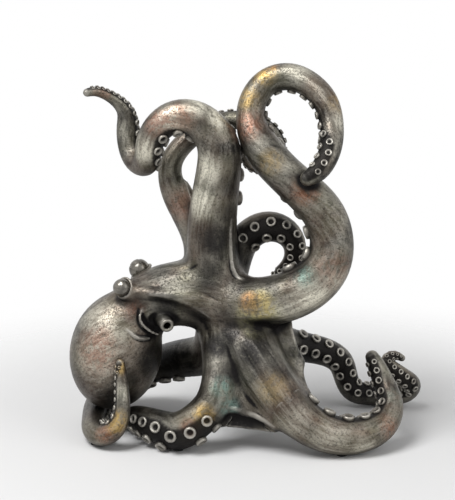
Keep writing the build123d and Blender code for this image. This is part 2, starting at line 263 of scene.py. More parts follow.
# Each arm's route, the station where it leaves the body and the way its suckers face
ARMS = {
    "ring_arm": (RING_ARM, 2, RING_FACING),
    "hook_arm": (HOOK_ARM, 2, HOOK_FACING),
    "spiral_arm": (SPIRAL_ARM, 2, SPIRAL_FACING),
    "coil_arm": (COIL_ARM, 2, COIL_FACING),
    "front_foot_arm": (FRONT_FOOT_ARM, 3, FRONT_FOOT_FACING),
    "rear_foot_arm": (REAR_FOOT_ARM, 2, REAR_FOOT_FACING),
    "front_curl_arm": (FRONT_CURL_ARM, 3, FRONT_CURL_FACING),
    "mantle_wrap_arm": (WRAP_ARM, 2, WRAP_FACING),
}

# Head, from inside the mantle to the crown of the arms: x, y, z and radius
HEAD = [
    (-75, 3, 70, 17.5),
    (-61, 2, 81, 18.5),
    (-44, 0, 87, 19.5),
    (-26, -2, 86, 20),
    (-11, -6, 83, 17),
]
MANTLE_CENTRE = (-82.5, 2, 50)
MANTLE_RADII = (28, 28, 36)
MANTLE_TILT = 10
MANTLE_GRAIN = [(-105, 2, 40, 22), (-83, 2, 50, 31), (-62, 2, 60, 22)]

# Eyes: centre, radius and the way that each looks
NEAR_EYE = ((-77, -13, 94), 5.4, (-0.62, -0.72, 0.3))
FAR_EYE = ((-68, 11, 99.5), 6.3, (-0.55, -0.05, 0.8))
EYES = {"near_eye": NEAR_EYE, "far_eye": FAR_EYE}
EYE_CLEARANCE = 0.1
# Stalk of an eye: distance behind the bead's centre, and radius in bead radii
EYE_STALK = [(15, 1.4), (7, 1), (3, 0.9)]
# Lid round each eye: distance behind the centre, gap round the bead, thickness
LID_SINK = 2.0
LID_GAP = 0.9
LID_THICKNESS = 0.8

SIPHON = [(-54, -10, 76, 6), (-50.8, -20.5, 74, 4.0)]
SIPHON_BORE = [(-51.5, -18, 74.5, 2.3), (-49.4, -27, 73.1, 2.5)]
SIPHON_AXIS = (0.29, -0.94, -0.18)
# Rim of the siphon's mouth: distance past its last station, radius and thickness
SIPHON_RIM = (2.6, 3.1, 1.1)

# Raised folds of skin: brows behind the eyes and the lips of the mantle opening
FAR_BROW = [(-60, 4, 93, 5), (-52, -3, 99, 4.5), (-40, -8, 102, 3.6), (-28, -7, 105, 2.5)]
NEAR_BROW = [
    (-74, -11, 91, 5),
    (-62, -13.5, 90.5, 4.5),
    (-48, -15.5, 92, 3.6),
    (-34, -18, 90.5, 3),
    (-24, -17, 88, 2.5),
]
BROWS = [FAR_BROW, NEAR_BROW]
LIPS = [
    [
        (-64.5, -15.5, 82, 0.4),
        (-66.5, -17.5, 77, 0.8),
        (-62.5, -17, 70, 0.9),
        (-53.5, -14, 64.5, 0.5),
    ],
    [(-74, -20, 70, 0.4), (-67, -20, 65, 0.8), (-60, -15.5, 63.5, 0.5)],
]

# Rubbed free edges of the webs
EDGES = [
    [
        (-20, -39, 27.5, 0.5),
        (-11, -40.3, 28, 0.9),
        (-3, -42, 26.3, 1.0),
        (5, -44.5, 23.2, 0.9),
        (13, -47, 19.5, 0.5),
    ],
    [
        (-12.5, -11.5, 136, 0.3),
        (-12.2, -12, 124, 0.8),
        (-11.8, -12.2, 113, 0.9),
        (-8.5, -15, 102, 0.9),
        (0, -17, 97.5, 0.5),
    ],
]

# Soft folds drawn along the skin: height, negative for a crease, width, and the line
FOLDS = [
    (-1.3, 3.6, [(-66, -14, 96.5), (-55, -17, 96), (-40, -20, 95.5), (-28, -22, 93), (-17, -24, 87)]),
    (-0.9, 3.2, [(-62, -6, 104), (-52, -9, 105), (-40, -13, 105.5), (-29, -15, 110)]),
    (-1.5, 4.0, [(-70, -18, 87.5), (-55, -20, 86), (-41, -20.5, 80), (-30, -21, 72), (-20, -22, 60)]),
    (1.2, 3.2, [(-64, -17.5, 91), (-46, -19.5, 90), (-34, -21.5, 85), (-22, -23, 75)]),
    (-2.0, 5.0, [(-24, -24, 77), (-10, -28.5, 74.5), (2, -31, 73.5), (13, -31, 74), (25, -26, 75)]),
    (-1.3, 1.9, [(-68, -16, 83), (-63.5, -17.5, 73.5), (-55, -16, 66)]),
    (-0.7, 2.4, [(-9, -30, 69), (0, -36.5, 55), (9, -44.5, 42), (20, -52, 29), (33, -55, 18)]),
    (-0.9, 3.0, [(-16, -27, 66), (-10, -33, 50), (-6, -39, 39), (4, -44, 28)]),
    (0.7, 2.6, [(-12, -29, 67), (-4, -36, 52), (3, -42, 40), (14, -49, 27)]),
    (0.6, 2.4, [(-2, -32, 70), (8, -39, 55), (17, -46, 42), (29, -53, 27)]),
    (-0.7, 2.4, [(6, -33, 68), (15, -39, 55), (24, -45, 42), (35, -51, 28)]),
]
MANTLE_OPENING = ((-57, -18, 74), 4.8)

# Skin stretched between neighbouring arms, as thin triangles
WEBS = [
    [(-8, -26, 60), (-19, -38, 27), (-4, -40.5, 26.5)],
    [(-8, -26, 60), (-4, -40.5, 26.5), (13, -45, 19.5)],
    [(-6, -28, 42), (-24, -32, 16), (13, -40, 14.5)],
    [(-24, 2, 100), (-47, 21, 158), (-34, 11, 161)],
    [(-24, 2, 100), (-34, 11, 161), (-22, 1, 168)],
    [(-16, 4, 92), (-10, 12, 116), (-14, 2, 130)],
    [(0, -6, 78), (6, 10, 62), (10, -22, 52)],
    [(-24, 0, 66), (-30, 14, 46), (-19, -20, 50)],
    [(4, -8, 80), (22, -15, 75), (28, -20, 50)],
    [(4, -8, 80), (28, -20, 50), (12, -24, 50)],
    [(12, -24, 50), (28, -20, 50), (32, -32, 33)],
    [(12, -24, 50), (32, -32, 33), (22, -38, 30)],
]
WEB_HALF_THICKNESS = 1.3

# Patches of patina by colour: x, y, z, reach and strength; the sooty ones are partly painted shade
# and the silvery ones partly painted highlight
PATCHES = {
    "copper": [
        (-92, -24, 58, 15, 0.75),
        (-70, -18, 82, 7, 0.4),
        (-55, -15, 193, 9, 0.8),
        (-40, 10, 140, 12, 0.5),
        (47, -35, 110, 13, 0.45),
        (-3, -9, 190, 10, 0.8),
        (-88, 6, 208, 7, 0.5),
    ],
    "rust": [
        (-42, -17, 197, 10, 0.5),
        (-1, -30, 89, 7, 1.0),
        (31, -27, 155, 9, 0.55),
        (10, 0, 226, 6, 0.6),
        (79, -38, 15, 8, 0.6),
        (-36, -46, 17, 7, 0.6),
        (-88, -40, 12, 7, 0.5),
    ],
    "gold": [
        (6, -31, 88, 8, 0.6),
        (11, -20, 171, 8, 0.35),
        (-4, -4, 207, 8, 0.6),
        (6, -3, 222, 9, 0.95),
        (48, -10, 202, 8, 0.35),
        (12, -46, 42, 10, 0.25),
        (-28, -45, 25, 7, 0.85),
        (-80, -41, 20, 8, 0.8),
        (-79, -34, 52, 6, 1.0),
    ],
    "olive": [(4, -32, 83, 14, 0.9)],
    "verdigris": [
        (32, -34, 106, 8, 0.6),
        (84, -22, 26, 8, 0.4),
        (-18, -38, 40, 7, 0.7),
        (-14, -40, 29, 7, 0.6),
    ],
    # Silvery patches: rubbed patina, and painted highlight where the light falls on upper and left
    # faces
    "silver": [
        (-95, -12, 78, 13, 0.4),
        (-92, -25, 56, 16, 0.55),
        (-84, -24, 66, 11, 0.3),
        (-17, -15, 200, 10, 1.0),
        (-33, -14, 204, 9, 0.9),
        (-47, -16, 194, 10, 0.7),
        (-63, -10, 177, 10, 0.8),
        (-30, -16, 166, 12, 1.0),
        (-32, -16, 147, 11, 1.0),
        (16, -33, 79, 12, 0.9),
        (36, -38, 92, 14, 0.95),
        (48, -33, 104, 10, 0.6),
        (24, -27, 172, 8, 0.5),
        (27, -4, 222, 9, 0.5),
        (50, -14, 192, 8, 0.6),
        (24, -52, 24, 10, 0.25),
        (45, -54, 10, 14, 0.35),
        (-77, -37, 36, 6, 0.4),
        (26, -37, 84, 11, 0.7),
        (66, -50, 4, 10, 0.5),
        (-75, 10, 184, 8, 0.4),
    ],
    # Sooty patches: dark patina, and painted shade in the crown, under the limbs and on the shaded
    # sides
    "soot": [
        (-80, -20, 22, 16, 0.85),
        (-104, -8, 34, 16, 0.5),
        (-60, -14, 50, 15, 0.9),
        (-58, -14, 72, 7, 1.0),
        (-29, -17, 196, 8, 0.5),
        (-48, -11, 181, 8, 0.95),
        (-54, -9, 171, 7, 0.95),
        (-11, -14, 156, 10, 0.6),
        (-13, -15, 138, 10, 0.7),
        (-21, -17, 124, 14, 0.9),
        (-25, -21, 103, 13, 0.75),
        (-16, -22, 78, 12, 0.55),
        (-32, -20, 76, 12, 0.8),
        (-52, -20, 82, 10, 0.8),
        (-50, -12, 99, 12, 0.45),
        (-4, -26, 96, 11, 0.55),
        (7, -28, 98, 11, 0.5),
        (-22, -36, 52, 7, 0.5),
        (-10, -22, 101, 12, 0.6),
        (28, -30, 104, 12, 0.55),
        (-68, -19, 86, 8, 0.8),
        (-6, -5, 116, 9, 0.95),
        (-10, 2, 108, 9, 0.9),
        (0, -34, 60, 14, 0.95),
        (-20, -26, 61, 11, 0.95),
        (-12, -27, 71, 10, 0.9),
        (-12, -35, 50, 9, 0.8),
        (13, -41, 53, 12, 0.65),
        (29, -44, 34, 12, 0.55),
        (38, 30, 45, 26, 0.8),
        (72, 42, 16, 22, 0.7),
        (-32, -38, 36, 9, 0.7),
        (-6, -34, 18, 18, 1.0),
        (-82, -26, 30, 12, 0.6),
        (-52, -34, 14, 12, 0.7),
        (-48, 24, 42, 26, 0.95),
        (-95, 5, 10, 22, 0.7),
        (5, 5, 115, 22, 0.6),
        (0, -28, 95, 9, 0.7),
        (0, -32, 73, 10, 0.8),
        (-57, -20, 91, 9, 0.7),
        (-72, -24, 40, 10, 0.7),
        (20, -42, 56, 10, 0.5),
    ],
}
# Layers of patina that also paint shade and highlight, then layers of colour alone
SHADES = ("silver", "soot")
TINTS = ("copper", "rust", "gold", "olive", "verdigris")
# Shares of a patch's reach where it starts to fade and where it ends
PATCH_CORE = 0.3
PATCH_EDGE = 1.3

# Box that the body is sculpted in, and the room left round an arm in its own
BODY_BOX = ((-116, -56, 8), (38, 44, 174))
ARM_MARGIN = 4
# Distance fields are true up to this far from a skin
FIELD_REACH = 12.0
# Spacing of the lines that folds, lips and stalks are drawn along
FINE_SPACING = 1.5
# Fillets where each form joins the skin
BROW_FILLET = 5
OPENING_FILLET = 2
LIP_FILLET = 1.2
SIPHON_FILLET = 1.6
STALK_FILLET = 4
# Share of a fold's width by which its ends sink under the skin
FOLD_TAPER = 1.6
# Rounds in which a line settles on the skin, and the least squared slope that it trusts
SETTLE_ROUNDS = 6
LEAST_SLOPE = 0.1
# Arms run this far past their seams on either side, and their melted skin stands this proud at most
ROOT_OVERRUN = 20
SKIN_ALLOWANCE = 5
# Space round a seam past the arm's radius, and the shares of it over which the body's shape fades
SEAM_ROOM = 16
SEAM_FADE = (0.55, 0.95)
# Each side of a seam sinks this far under the other, over this length each way
SEAM_SINK = 0.25
SEAM_LAP = 2.0
# Height of the castings' underside, where the felt begins to show
UNDERSIDE = 1.2
# Distances over which the bend of a skin and the hollows near it and round it are felt
BEND_REACH = 1.2
HOLLOW_REACHES = (2.0, 6.0)
# Downward lean, which darkens a skin as painted shade on its underside, and inward bend, which
# darkens it as glaze in a crease, from where each starts to where it is full
UNDER_LEAN = (0.05, 0.95)
CREASE_BEND = (0.1, 0.6)
# Shares of the near and wide hollows, the underside and the creases in how sunken a place is, which
# darkens as glaze in creases and as painted shade in recesses, between limbs and on undersides
HOLLOW_SHARES = (0.4, 0.8, 0.45, 0.7)
# Lean towards the suckers where their dark bed starts and is full, the length over which it begins,
# and how far before the seam it is looked for
BED_LEAN = (0.5, 0.72)
BED_FADE = 8
BED_LEAD = 2
# Distance from a lip or web edge where its rubbing starts to fade and ends, the room looked at
# round it and the spacing of its points
RUB_FADE = (0.1, 0.9)
RUB_ROOM = 4
RUB_SPACING = 1.0
# Bend of a ridge where its rubbing starts and is full, and how rubbed edges and ridges are
RIDGE_BEND = (0.3, 0.8)
EDGE_RUB = 0.7
RIDGE_RUB = 0.5
# Edges sharper than this are not smoothed over
SHARP_ANGLE = math.radians(50)
# Share of their true length that patterns keep along a limb, and the front of the head and mantle
FLOW_STRETCH = 0.16
HEAD_FRONT = np.array([0.1, -1, 0.05])
# Places handled at once
CHUNK = 3000
# Distances are kept within this when they melt, and sums above this
MELT_LIMIT = 40
LEAST_MELT = 1e-7
# Keeps divisions away from nought
TINY = 1e-6


def smooth_step(low, high, value):
    """Soft ramp from 0 at low to 1 at high."""
    share = np.clip((value - low) / (high - low), 0, 1)
    return share * share * (3 - 2 * share)


def unit(vectors):
    """Vectors of length one."""
    vectors = np.asarray(vectors, float)
    return vectors / np.linalg.norm(vectors, axis=-1, keepdims=True)


class Route:
    """Smooth tapering line through stations, sampled at even steps."""

    def __init__(self, stations, spacing=2.5):
        points = np.array(stations, float)
        chords = np.linalg.norm(np.diff(points[:, :3], axis=0), axis=1)
        self.knots = np.concatenate([[0], np.cumsum(chords)])
        self.points = points
        self.bends = self.second_derivatives()
        self.marks = np.linspace(0, self.knots[-1], max(2, int(self.knots[-1] / spacing) + 1))
        self.line = self.at(self.marks)

    def second_derivatives(self):
        """Second derivatives of the natural cubic spline at its knots."""
        count = len(self.knots)
        if count < 3:
            return np.zeros_like(self.points)
        gaps = np.diff(self.knots)
        system = np.eye(count)
        loads = np.zeros_like(self.points)
        slopes = np.diff(self.points, axis=0) / gaps[:, None]
        for row in range(1, count - 1):
            system[row, row - 1 : row + 2] = gaps[row - 1], 2 * (gaps[row - 1] + gaps[row]), gaps[row]
            loads[row] = 6 * (slopes[row] - slopes[row - 1])
        return np.linalg.solve(system, loads)

    def at(self, marks):
        """Places and radii at distances along the chords."""
        marks = np.clip(np.asarray(marks, float), 0, self.knots[-1])
        piece = np.clip(np.searchsorted(self.knots, marks, "right") - 1, 0, len(self.knots) - 2)
        gap = (self.knots[piece + 1] - self.knots[piece])[..., None]
        after = (marks - self.knots[piece])[..., None] / gap
        before = 1 - after
        curve = (before**3 - before) * self.bends[piece] + (after**3 - after) * self.bends[piece + 1]
        return before * self.points[piece] + after * self.points[piece + 1] + curve * gap**2 / 6

    def along(self, marks, reach=0.5):
        """Direction of the line at distances along the chords."""
        marks = np.asarray(marks, float)
        return unit((self.at(marks + reach) - self.at(marks - reach))[..., :3])


class Arm:
    """One arm: its route, its seam with the body and the way that its suckers face."""

    def __init__(self, name):
        stations, seam, facing = ARMS[name]
        self.name = name
        self.route = Route(stations)
        self.seam_mark = self.route.knots[seam]
        self.seam = self.route.at(self.seam_mark)[:3]
        self.seam_radius = stations[seam][3]
        self.seam_way = self.route.along(self.seam_mark)
        self.reach = self.seam_radius + SEAM_ROOM
        self.facing_marks = np.array([mark for mark, way in facing])
        self.facing_ways = np.array([way for mark, way in facing], float)

    def facing(self, marks):
        """Way that the suckers face, square to the arm."""
        marks = np.asarray(marks, float)
        share = (marks - self.seam_mark) / (self.route.knots[-1] - self.seam_mark)
        way = np.stack([np.interp(share, self.facing_marks, part) for part in self.facing_ways.T], -1)
        along = self.route.along(marks)
        return unit(way - along * np.sum(way * along, -1, keepdims=True))

    def part(self, before, after):
        """Stretch of the sampled line between two distances from the seam."""
        past = self.route.marks - self.seam_mark
        return self.route.line[(past >= before) & (past <= after)]


class Clay:
    """Box of sample points that a piece is sculpted in."""

    def __init__(self, low, high, step):
        self.step = step
        self.low = np.array(low, float)
        self.shape = tuple(int(n) for n in np.ceil((np.array(high, float) - self.low) / step) + 1)

    def window(self, low, high):
        """Slices of the box between two corners, with the coordinates of their points."""
        low, high = ((np.asarray(corner) - self.low) / self.step for corner in (low, high))
        first = np.clip(np.floor(low).astype(int), 0, self.shape)
        last = np.clip(np.ceil(high).astype(int) + 1, 0, self.shape)
        if np.any(last <= first):
            return None
        axes = zip(self.low, first, last)
        x, y, z = [np.float32(start + self.step * np.arange(a, b)) for start, a, b in axes]
        where = tuple(slice(a, b) for a, b in zip(first, last))
        return where, x[:, None, None], y[None, :, None], z[None, None, :]

    def everywhere(self):
        """Coordinates of all of the points."""
        return self.window(self.low, self.low + self.step * np.array(self.shape))[1:]

    def offsets(self, point):
        """Coordinates of all of the points, counted from a given one."""
        return [values - start for values, start in zip(self.everywhere(), point)]

    def tube(self, line):
        """Distance to the skin of a tapering tube, capped at the fields' reach."""
        field = np.full(self.shape, FIELD_REACH, np.float32)
        for start, end in zip(line, line[1:]):
            size = max(start[3], end[3]) + FIELD_REACH
            found = self.window(np.minimum(start, end)[:3] - size, np.maximum(start, end)[:3] + size)
            if found is None:
                continue
            where, x, y, z = found
            ax, ay, az, swell = np.float32(end - start)
            x, y, z = x - np.float32(start[0]), y - np.float32(start[1]), z - np.float32(start[2])
            share = np.clip((x * ax + y * ay + z * az) / (ax * ax + ay * ay + az * az), 0, 1)
            gap = np.sqrt((x - share * ax) ** 2 + (y - share * ay) ** 2 + (z - share * az) ** 2)
            field[where] = np.minimum(field[where], gap - (np.float32(start[3]) + share * swell))
        return field

    def strand(self, stations):
        """Distance to the skin of a fine tube through stations."""
        return self.tube(Route(stations, FINE_SPACING).line)

    def ball(self, centre, radius):
        """Distance to the skin of a ball."""
        x, y, z = self.offsets(centre)
        return np.sqrt(x**2 + y**2 + z**2) - radius

    def side(self, point, way):
        """Distance in front of a plane."""
        x, y, z = self.offsets(point)
        return x * way[0] + y * way[1] + z * way[2]

    def egg(self, centre, radii, tilt):
        """Distance to the skin of an ellipsoid that leans in the front view."""
        x, y, z = self.offsets(centre)
        lean = math.radians(tilt)
        across = x * math.cos(lean) - z * math.sin(lean)
        upward = x * math.sin(lean) + z * math.cos(lean)
        near = np.sqrt((across / radii[0]) ** 2 + (y / radii[1]) ** 2 + (upward / radii[2]) ** 2)
        slopes = (across / radii[0] ** 2, y / radii[1] ** 2, upward / radii[2] ** 2)
        steep = np.sqrt(slopes[0] ** 2 + slopes[1] ** 2 + slopes[2] ** 2)
        return near * (near - 1) / np.maximum(steep, TINY)

    def sheet(self, corners, thickness):
        """Distance to a thin triangular sheet."""
        a, b, c = [np.array(corner, float) for corner in corners]
        normal = unit(np.cross(b - a, c - a))
        flat = np.abs(self.side(a, normal))
        outside = None
        for start, end in ((a, b), (b, c), (c, a)):
            edge = end - start
            outward = np.cross(edge, normal)
            share = np.clip(self.side(start, edge) / (edge @ edge), 0, 1)
            x, y, z = self.offsets(start)
            x, y, z = x - share * edge[0], y - share * edge[1], z - share * edge[2]
            edge_gap = np.where(self.side(start, outward) > 0, np.sqrt(x**2 + y**2 + z**2), 0)
            outside = edge_gap if outside is None else np.maximum(outside, edge_gap)
        return np.where(outside > 0, outside, flat) - thickness


def melt(fields, softness):
    """Smooth union of weighted distance fields."""
    total = 0
    floor = math.exp(-FIELD_REACH / softness)
    for field, weight in fields:
        near = np.exp(-np.clip(field, -MELT_LIMIT, MELT_LIMIT) / softness)
        total = total + weight * np.maximum(near - floor, 0)
    return -softness * np.log(np.maximum(total, LEAST_MELT))


def smooth_join(field, other, softness):
    """Union of two fields with a small fillet between them."""
    mix = np.clip(0.5 + 0.5 * (other - field) / softness, 0, 1)
    return other + (field - other) * mix - softness * mix * (1 - mix)


def core_fields(clay, arms, skip=None):
    """Fields of the mantle, head, webs and arm roots that run together in the crown."""
    fields = [clay.egg(MANTLE_CENTRE, MANTLE_RADII, MANTLE_TILT), clay.tube(Route(HEAD).line)]
    fields += [clay.sheet(corners, WEB_HALF_THICKNESS) for corners in WEBS]
    fields += [clay.tube(arm.part(-math.inf, ROOT_OVERRUN)) for arm in arms if arm.name != skip]
    return fields


def seam_share(clay, arm):
    """Share of the way across an arm's seam, from 0 in the body to 1 in the arm."""
    return np.clip((clay.side(arm.seam, arm.seam_way) + SEAM_LAP) / (2 * SEAM_LAP), 0, 1)


def seam_room(clay, arm):
    """Field of the space close to an arm's seam."""
    own = clay.tube(arm.part(-ROOT_OVERRUN, arm.reach))
    return np.maximum(own - SKIN_ALLOWANCE, clay.ball(arm.seam, arm.reach))


def settle(clay, field, places):
    """Places moved along the slope of a field until they lie on its skin."""
    for _ in range(SETTLE_ROUNDS):
        slope = np.column_stack([
            sampled(clay, field, places + axis) - sampled(clay, field, places - axis)
            for axis in np.eye(3)
        ]) / 2
        steep = np.maximum(np.sum(slope * slope, axis=1), LEAST_SLOPE)
        places = places - (sampled(clay, field, places) / steep)[:, None] * slope
    return places


def sculpt_body(clay, arms, softness):
    """Field of the body casting."""
    field = melt([(part, 1) for part in core_fields(clay, arms)], softness)
    for brow in BROWS:
        field = smooth_join(field, clay.strand(brow), BROW_FILLET)
    bare = field
    for height, width, line in FOLDS:
        settled = settle(clay, bare, Route(line, FINE_SPACING).line)
        ends = np.abs(np.linspace(-1, 1, len(settled))) ** 3
        near = np.maximum(clay.tube(np.column_stack([settled, -FOLD_TAPER * width * ends])), 0)
        field = field - height * np.exp(-((near / width) ** 2))
    field = -smooth_join(-field, clay.ball(*MANTLE_OPENING), OPENING_FILLET)
    for lip in LIPS + EDGES:
        field = smooth_join(field, clay.strand(lip), LIP_FILLET)
    field = smooth_join(field, clay.strand(SIPHON), SIPHON_FILLET)
    field = np.maximum(field, -clay.strand(SIPHON_BORE))
    for centre, radius, axis in EYES.values():
        centre = np.array(centre, float)
        stalk = [(*(centre - unit(axis) * back), radius * swell) for back, swell in EYE_STALK]
        field = smooth_join(field, clay.strand(stalk), STALK_FILLET)
        field = np.maximum(field, -clay.ball(centre, radius + EYE_CLEARANCE))
    for arm in arms:
        room = seam_room(clay, arm)
        field = field + np.where(room < 0, SEAM_SINK * seam_share(clay, arm), 0)
        past = SEAM_LAP - clay.side(arm.seam, arm.seam_way)
        field = np.maximum(field, -np.maximum(room, past))
    return field


def sculpt_arm(clay, arm, arms, softness):
    """Field of one arm, shaped near its seam by all that runs together there."""
    own = clay.tube(arm.part(-ROOT_OVERRUN, math.inf))
    nearby = clay.ball(arm.seam, 0)
    fade = 1 - smooth_step(*(share * arm.reach for share in SEAM_FADE), nearby)
    fields = [(part, fade) for part in core_fields(clay, arms, skip=arm.name)]
    field = melt([(own, 1)] + fields, softness)
    field = np.maximum(field, own - SKIN_ALLOWANCE)
    field = field + np.where(nearby < arm.reach, SEAM_SINK * (1 - seam_share(clay, arm)), 0)
    behind = -clay.side(arm.seam, arm.seam_way) - SEAM_LAP
    field = np.maximum(field, np.where(nearby < arm.reach, behind, -np.inf))
    return np.maximum(field, UNDERSIDE - clay.everywhere()[2])


def skin(clay, field):
    """Points and outward quads of the zero surface of a field, largest shell only."""
    grid = openvdb.FloatGrid(float(field.max()))
    grid.copyFromArray(np.ascontiguousarray(field, np.float32))
    points, quads = grid.convertToQuads(0.0)
    if not len(quads):
        raise RuntimeError("the sculpted field has no skin")
    labels, before = np.arange(len(points)), None
    while not np.array_equal(labels, before):
        before = labels
        lowest = labels[quads].min(axis=1)
        labels = labels.copy()
        for corner in quads.T:
            np.minimum.at(labels, corner, lowest)
        labels = labels[labels]
    shell = np.bincount(labels).argmax()
    quads = quads[labels[quads[:, 0]] == shell]
    used = np.unique(quads)
    order = np.full(len(points), -1)
    order[used] = np.arange(len(used))
    return points[used] * clay.step + clay.low, order[quads]


def sampled(clay, field, places):
    """Field read between its sample points."""
    spots = np.clip((places - clay.low) / clay.step, 0, np.array(clay.shape) - 1.001)
    base = spots.astype(int)
    rest = spots - base
    value = 0
    for corner in np.ndindex(2, 2, 2):
        near = np.abs(1 - np.array(corner) - rest)
        value = value + near[:, 0] * near[:, 1] * near[:, 2] * field[tuple((base + corner).T)]
    return value


def add_attribute(mesh, name, values):
    """Stores one number per vertex."""
    mesh.attributes.new(name, "FLOAT", "POINT").data.foreach_set("value", np.float32(values))


def add_vectors(mesh, name, vectors):
    """Stores one vector per vertex."""
    attribute = mesh.attributes.new(name, "FLOAT_VECTOR", "POINT")
    attribute.data.foreach_set("vector", np.float32(vectors).ravel())


def add_tint(mesh, places, colours):
    """Stores how sooty and silvery each vertex is, as patina with painted shade and painted
    highlight, and the colour and strength of its patches.
    """
    shades = {name: np.zeros(len(places)) for name in SHADES}
    colour = np.zeros((len(places), 3))
    total = np.zeros(len(places))
    for name, patches in PATCHES.items():
        for *centre, reach, strength in patches:
            near = np.linalg.norm(places - np.array(centre, float), axis=1)
            weight = strength * (1 - smooth_step(PATCH_CORE * reach, PATCH_EDGE * reach, near))
            if name in SHADES:
                shades[name] = np.maximum(shades[name], weight)
            else:
                colour += weight[:, None] * np.array(colours[name])
                total += weight
    colour /= np.maximum(total, TINY)[:, None]
    tint = np.column_stack([colour, np.clip(total, 0, 1)])
    for name, values in shades.items():
        add_attribute(mesh, name, values)
    attribute = mesh.color_attributes.new("tint", "FLOAT_COLOR", "POINT")
    attribute.data.foreach_set("color", np.float32(tint).ravel())


def scene_object(name, data):
    """Object linked to the scene."""
    made = bpy.data.objects.new(name, data)
    bpy.context.scene.collection.objects.link(made)
    return made


def shade_smooth(mesh):
    """Smooth shading on every face."""
    mesh.polygons.foreach_set("use_smooth", np.ones(len(mesh.polygons), bool))


def mesh_piece(name, places, faces):
    """Mesh object from places in millimetres."""
    mesh = bpy.data.meshes.new(name)
    mesh.from_pydata((places * MM).tolist(), [], faces.tolist())
    volume = bmesh.new()
    volume.from_mesh(mesh)
    bmesh.ops.recalc_face_normals(volume, faces=volume.faces)
    if volume.calc_volume(signed=True) < 0:
        bmesh.ops.reverse_faces(volume, faces=volume.faces)
    volume.to_mesh(mesh)
    volume.free()
    shade_smooth(mesh)
    return scene_object(name, mesh)


def vertex_places(mesh):
    """Places of the vertices, in millimetres, and their normals."""
    places = np.zeros(len(mesh.vertices) * 3, np.float32)
    mesh.vertices.foreach_get("co", places)
    normals = np.zeros(len(mesh.vertices) * 3, np.float32)
    mesh.vertex_normals.foreach_get("vector", normals)
    return places.reshape(-1, 3) / MM, normals.reshape(-1, 3)


def bend(clay, field, places):
    """How sharply the surface bends at each place, positive on ridges, in 1/mm."""
    total = -6 * sampled(clay, field, places)
    for axis in np.eye(3) * BEND_REACH:
        total = total + sampled(clay, field, places + axis) + sampled(clay, field, places - axis)
    return total / BEND_REACH**2


def hollows_and_painted_shade(clay, field, places, normals):
    """How sunken each place is, from 0 on a ridge to 1 in a crease, with painted shade added in
    recesses, between limbs and on undersides.
    """
    near, wide = (1 - sampled(clay, field, places + normals * out) / out for out in HOLLOW_REACHES)
    # Painted shade: skin that faces down is darkened as if in shade
    under = smooth_step(*UNDER_LEAN, -normals[:, 2])
    crease = smooth_step(*CREASE_BEND, -bend(clay, field, places))
    causes = zip(HOLLOW_SHARES, (near, wide, under, crease))
    return np.clip(sum(share * cause for share, cause in causes), 0, 1)


def flow_lines(arms):
    """Lines that the brushed streaks follow: places, radii, distances along and a way across."""
    stretches = []
    for arm in arms:
        marks = arm.route.marks
        stretches.append((arm.route.line, marks, arm.route.along(marks), arm.facing(marks)))
    for stations in (HEAD, MANTLE_GRAIN):
        route = Route(stations)
        along = route.along(route.marks)
        across = unit(HEAD_FRONT - along * (along @ HEAD_FRONT)[:, None])
        stretches.append((route.line, route.marks, along, across))
    return [np.concatenate(parts) for parts in zip(*stretches)]


def chunks(count):
    """Slices that cover a count of places, some at a time."""
    return [slice(first, first + CHUNK) for first in range(0, count, CHUNK)]


def flow(places, lines):
    """Coordinates, in metres, that stretch a pattern along the nearest limb."""
    line, marks, along, across = lines
    result = np.zeros((len(places), 3), np.float32)
    for chunk in chunks(len(places)):
        some = places[chunk]
        gap = np.linalg.norm(some[:, None] - line[None, :, :3], axis=2) - line[None, :, 3]
        near = gap.argmin(axis=1)
        out = some - line[near, :3]
        front = np.sum(out * across[near], axis=1)
        side = np.sum(out * np.cross(along[near], across[near]), axis=1)
        ahead = marks[near] + np.sum(out * along[near], axis=1)
        result[chunk] = np.column_stack([front, side, ahead * FLOW_STRETCH]) * MM
    return result


def sucker_bed(arm, places):
    """Where an arm's dark sucker side lies, from 0 to 1."""
    keep = arm.route.marks >= arm.seam_mark - BED_LEAD
    marks = arm.route.marks[keep]
    line = arm.route.line[keep]
    bed = np.zeros(len(places))
    for chunk in chunks(len(places)):
        some = places[chunk]
        nearest = np.linalg.norm(some[:, None] - line[None, :, :3], axis=2).argmin(axis=1)
        out = unit(some - line[nearest, :3] + TINY)
        lean = np.sum(out * arm.facing(marks[nearest]), axis=1)
        fade = smooth_step(0, BED_FADE, marks[nearest] - arm.seam_mark)
        bed[chunk] = smooth_step(*BED_LEAN, lean) * fade
    return bed


def rubbed_edges(places):
    """Where the lips and web edges are rubbed bright, from 0 to 1."""
    rub = np.zeros(len(places))
    for edge in LIPS + EDGES:
        line = Route(edge, RUB_SPACING).line
        low, high = line[:, :3].min(0) - RUB_ROOM, line[:, :3].max(0) + RUB_ROOM
        near = np.flatnonzero(np.all((places > low) & (places < high), axis=1))
        if len(near):
            gap = np.linalg.norm(places[near, None] - line[None, :, :3], axis=2) - line[None, :, 3]
            rub[near] = np.maximum(rub[near], 1 - smooth_step(*RUB_FADE, gap.min(axis=1)))
    return rub


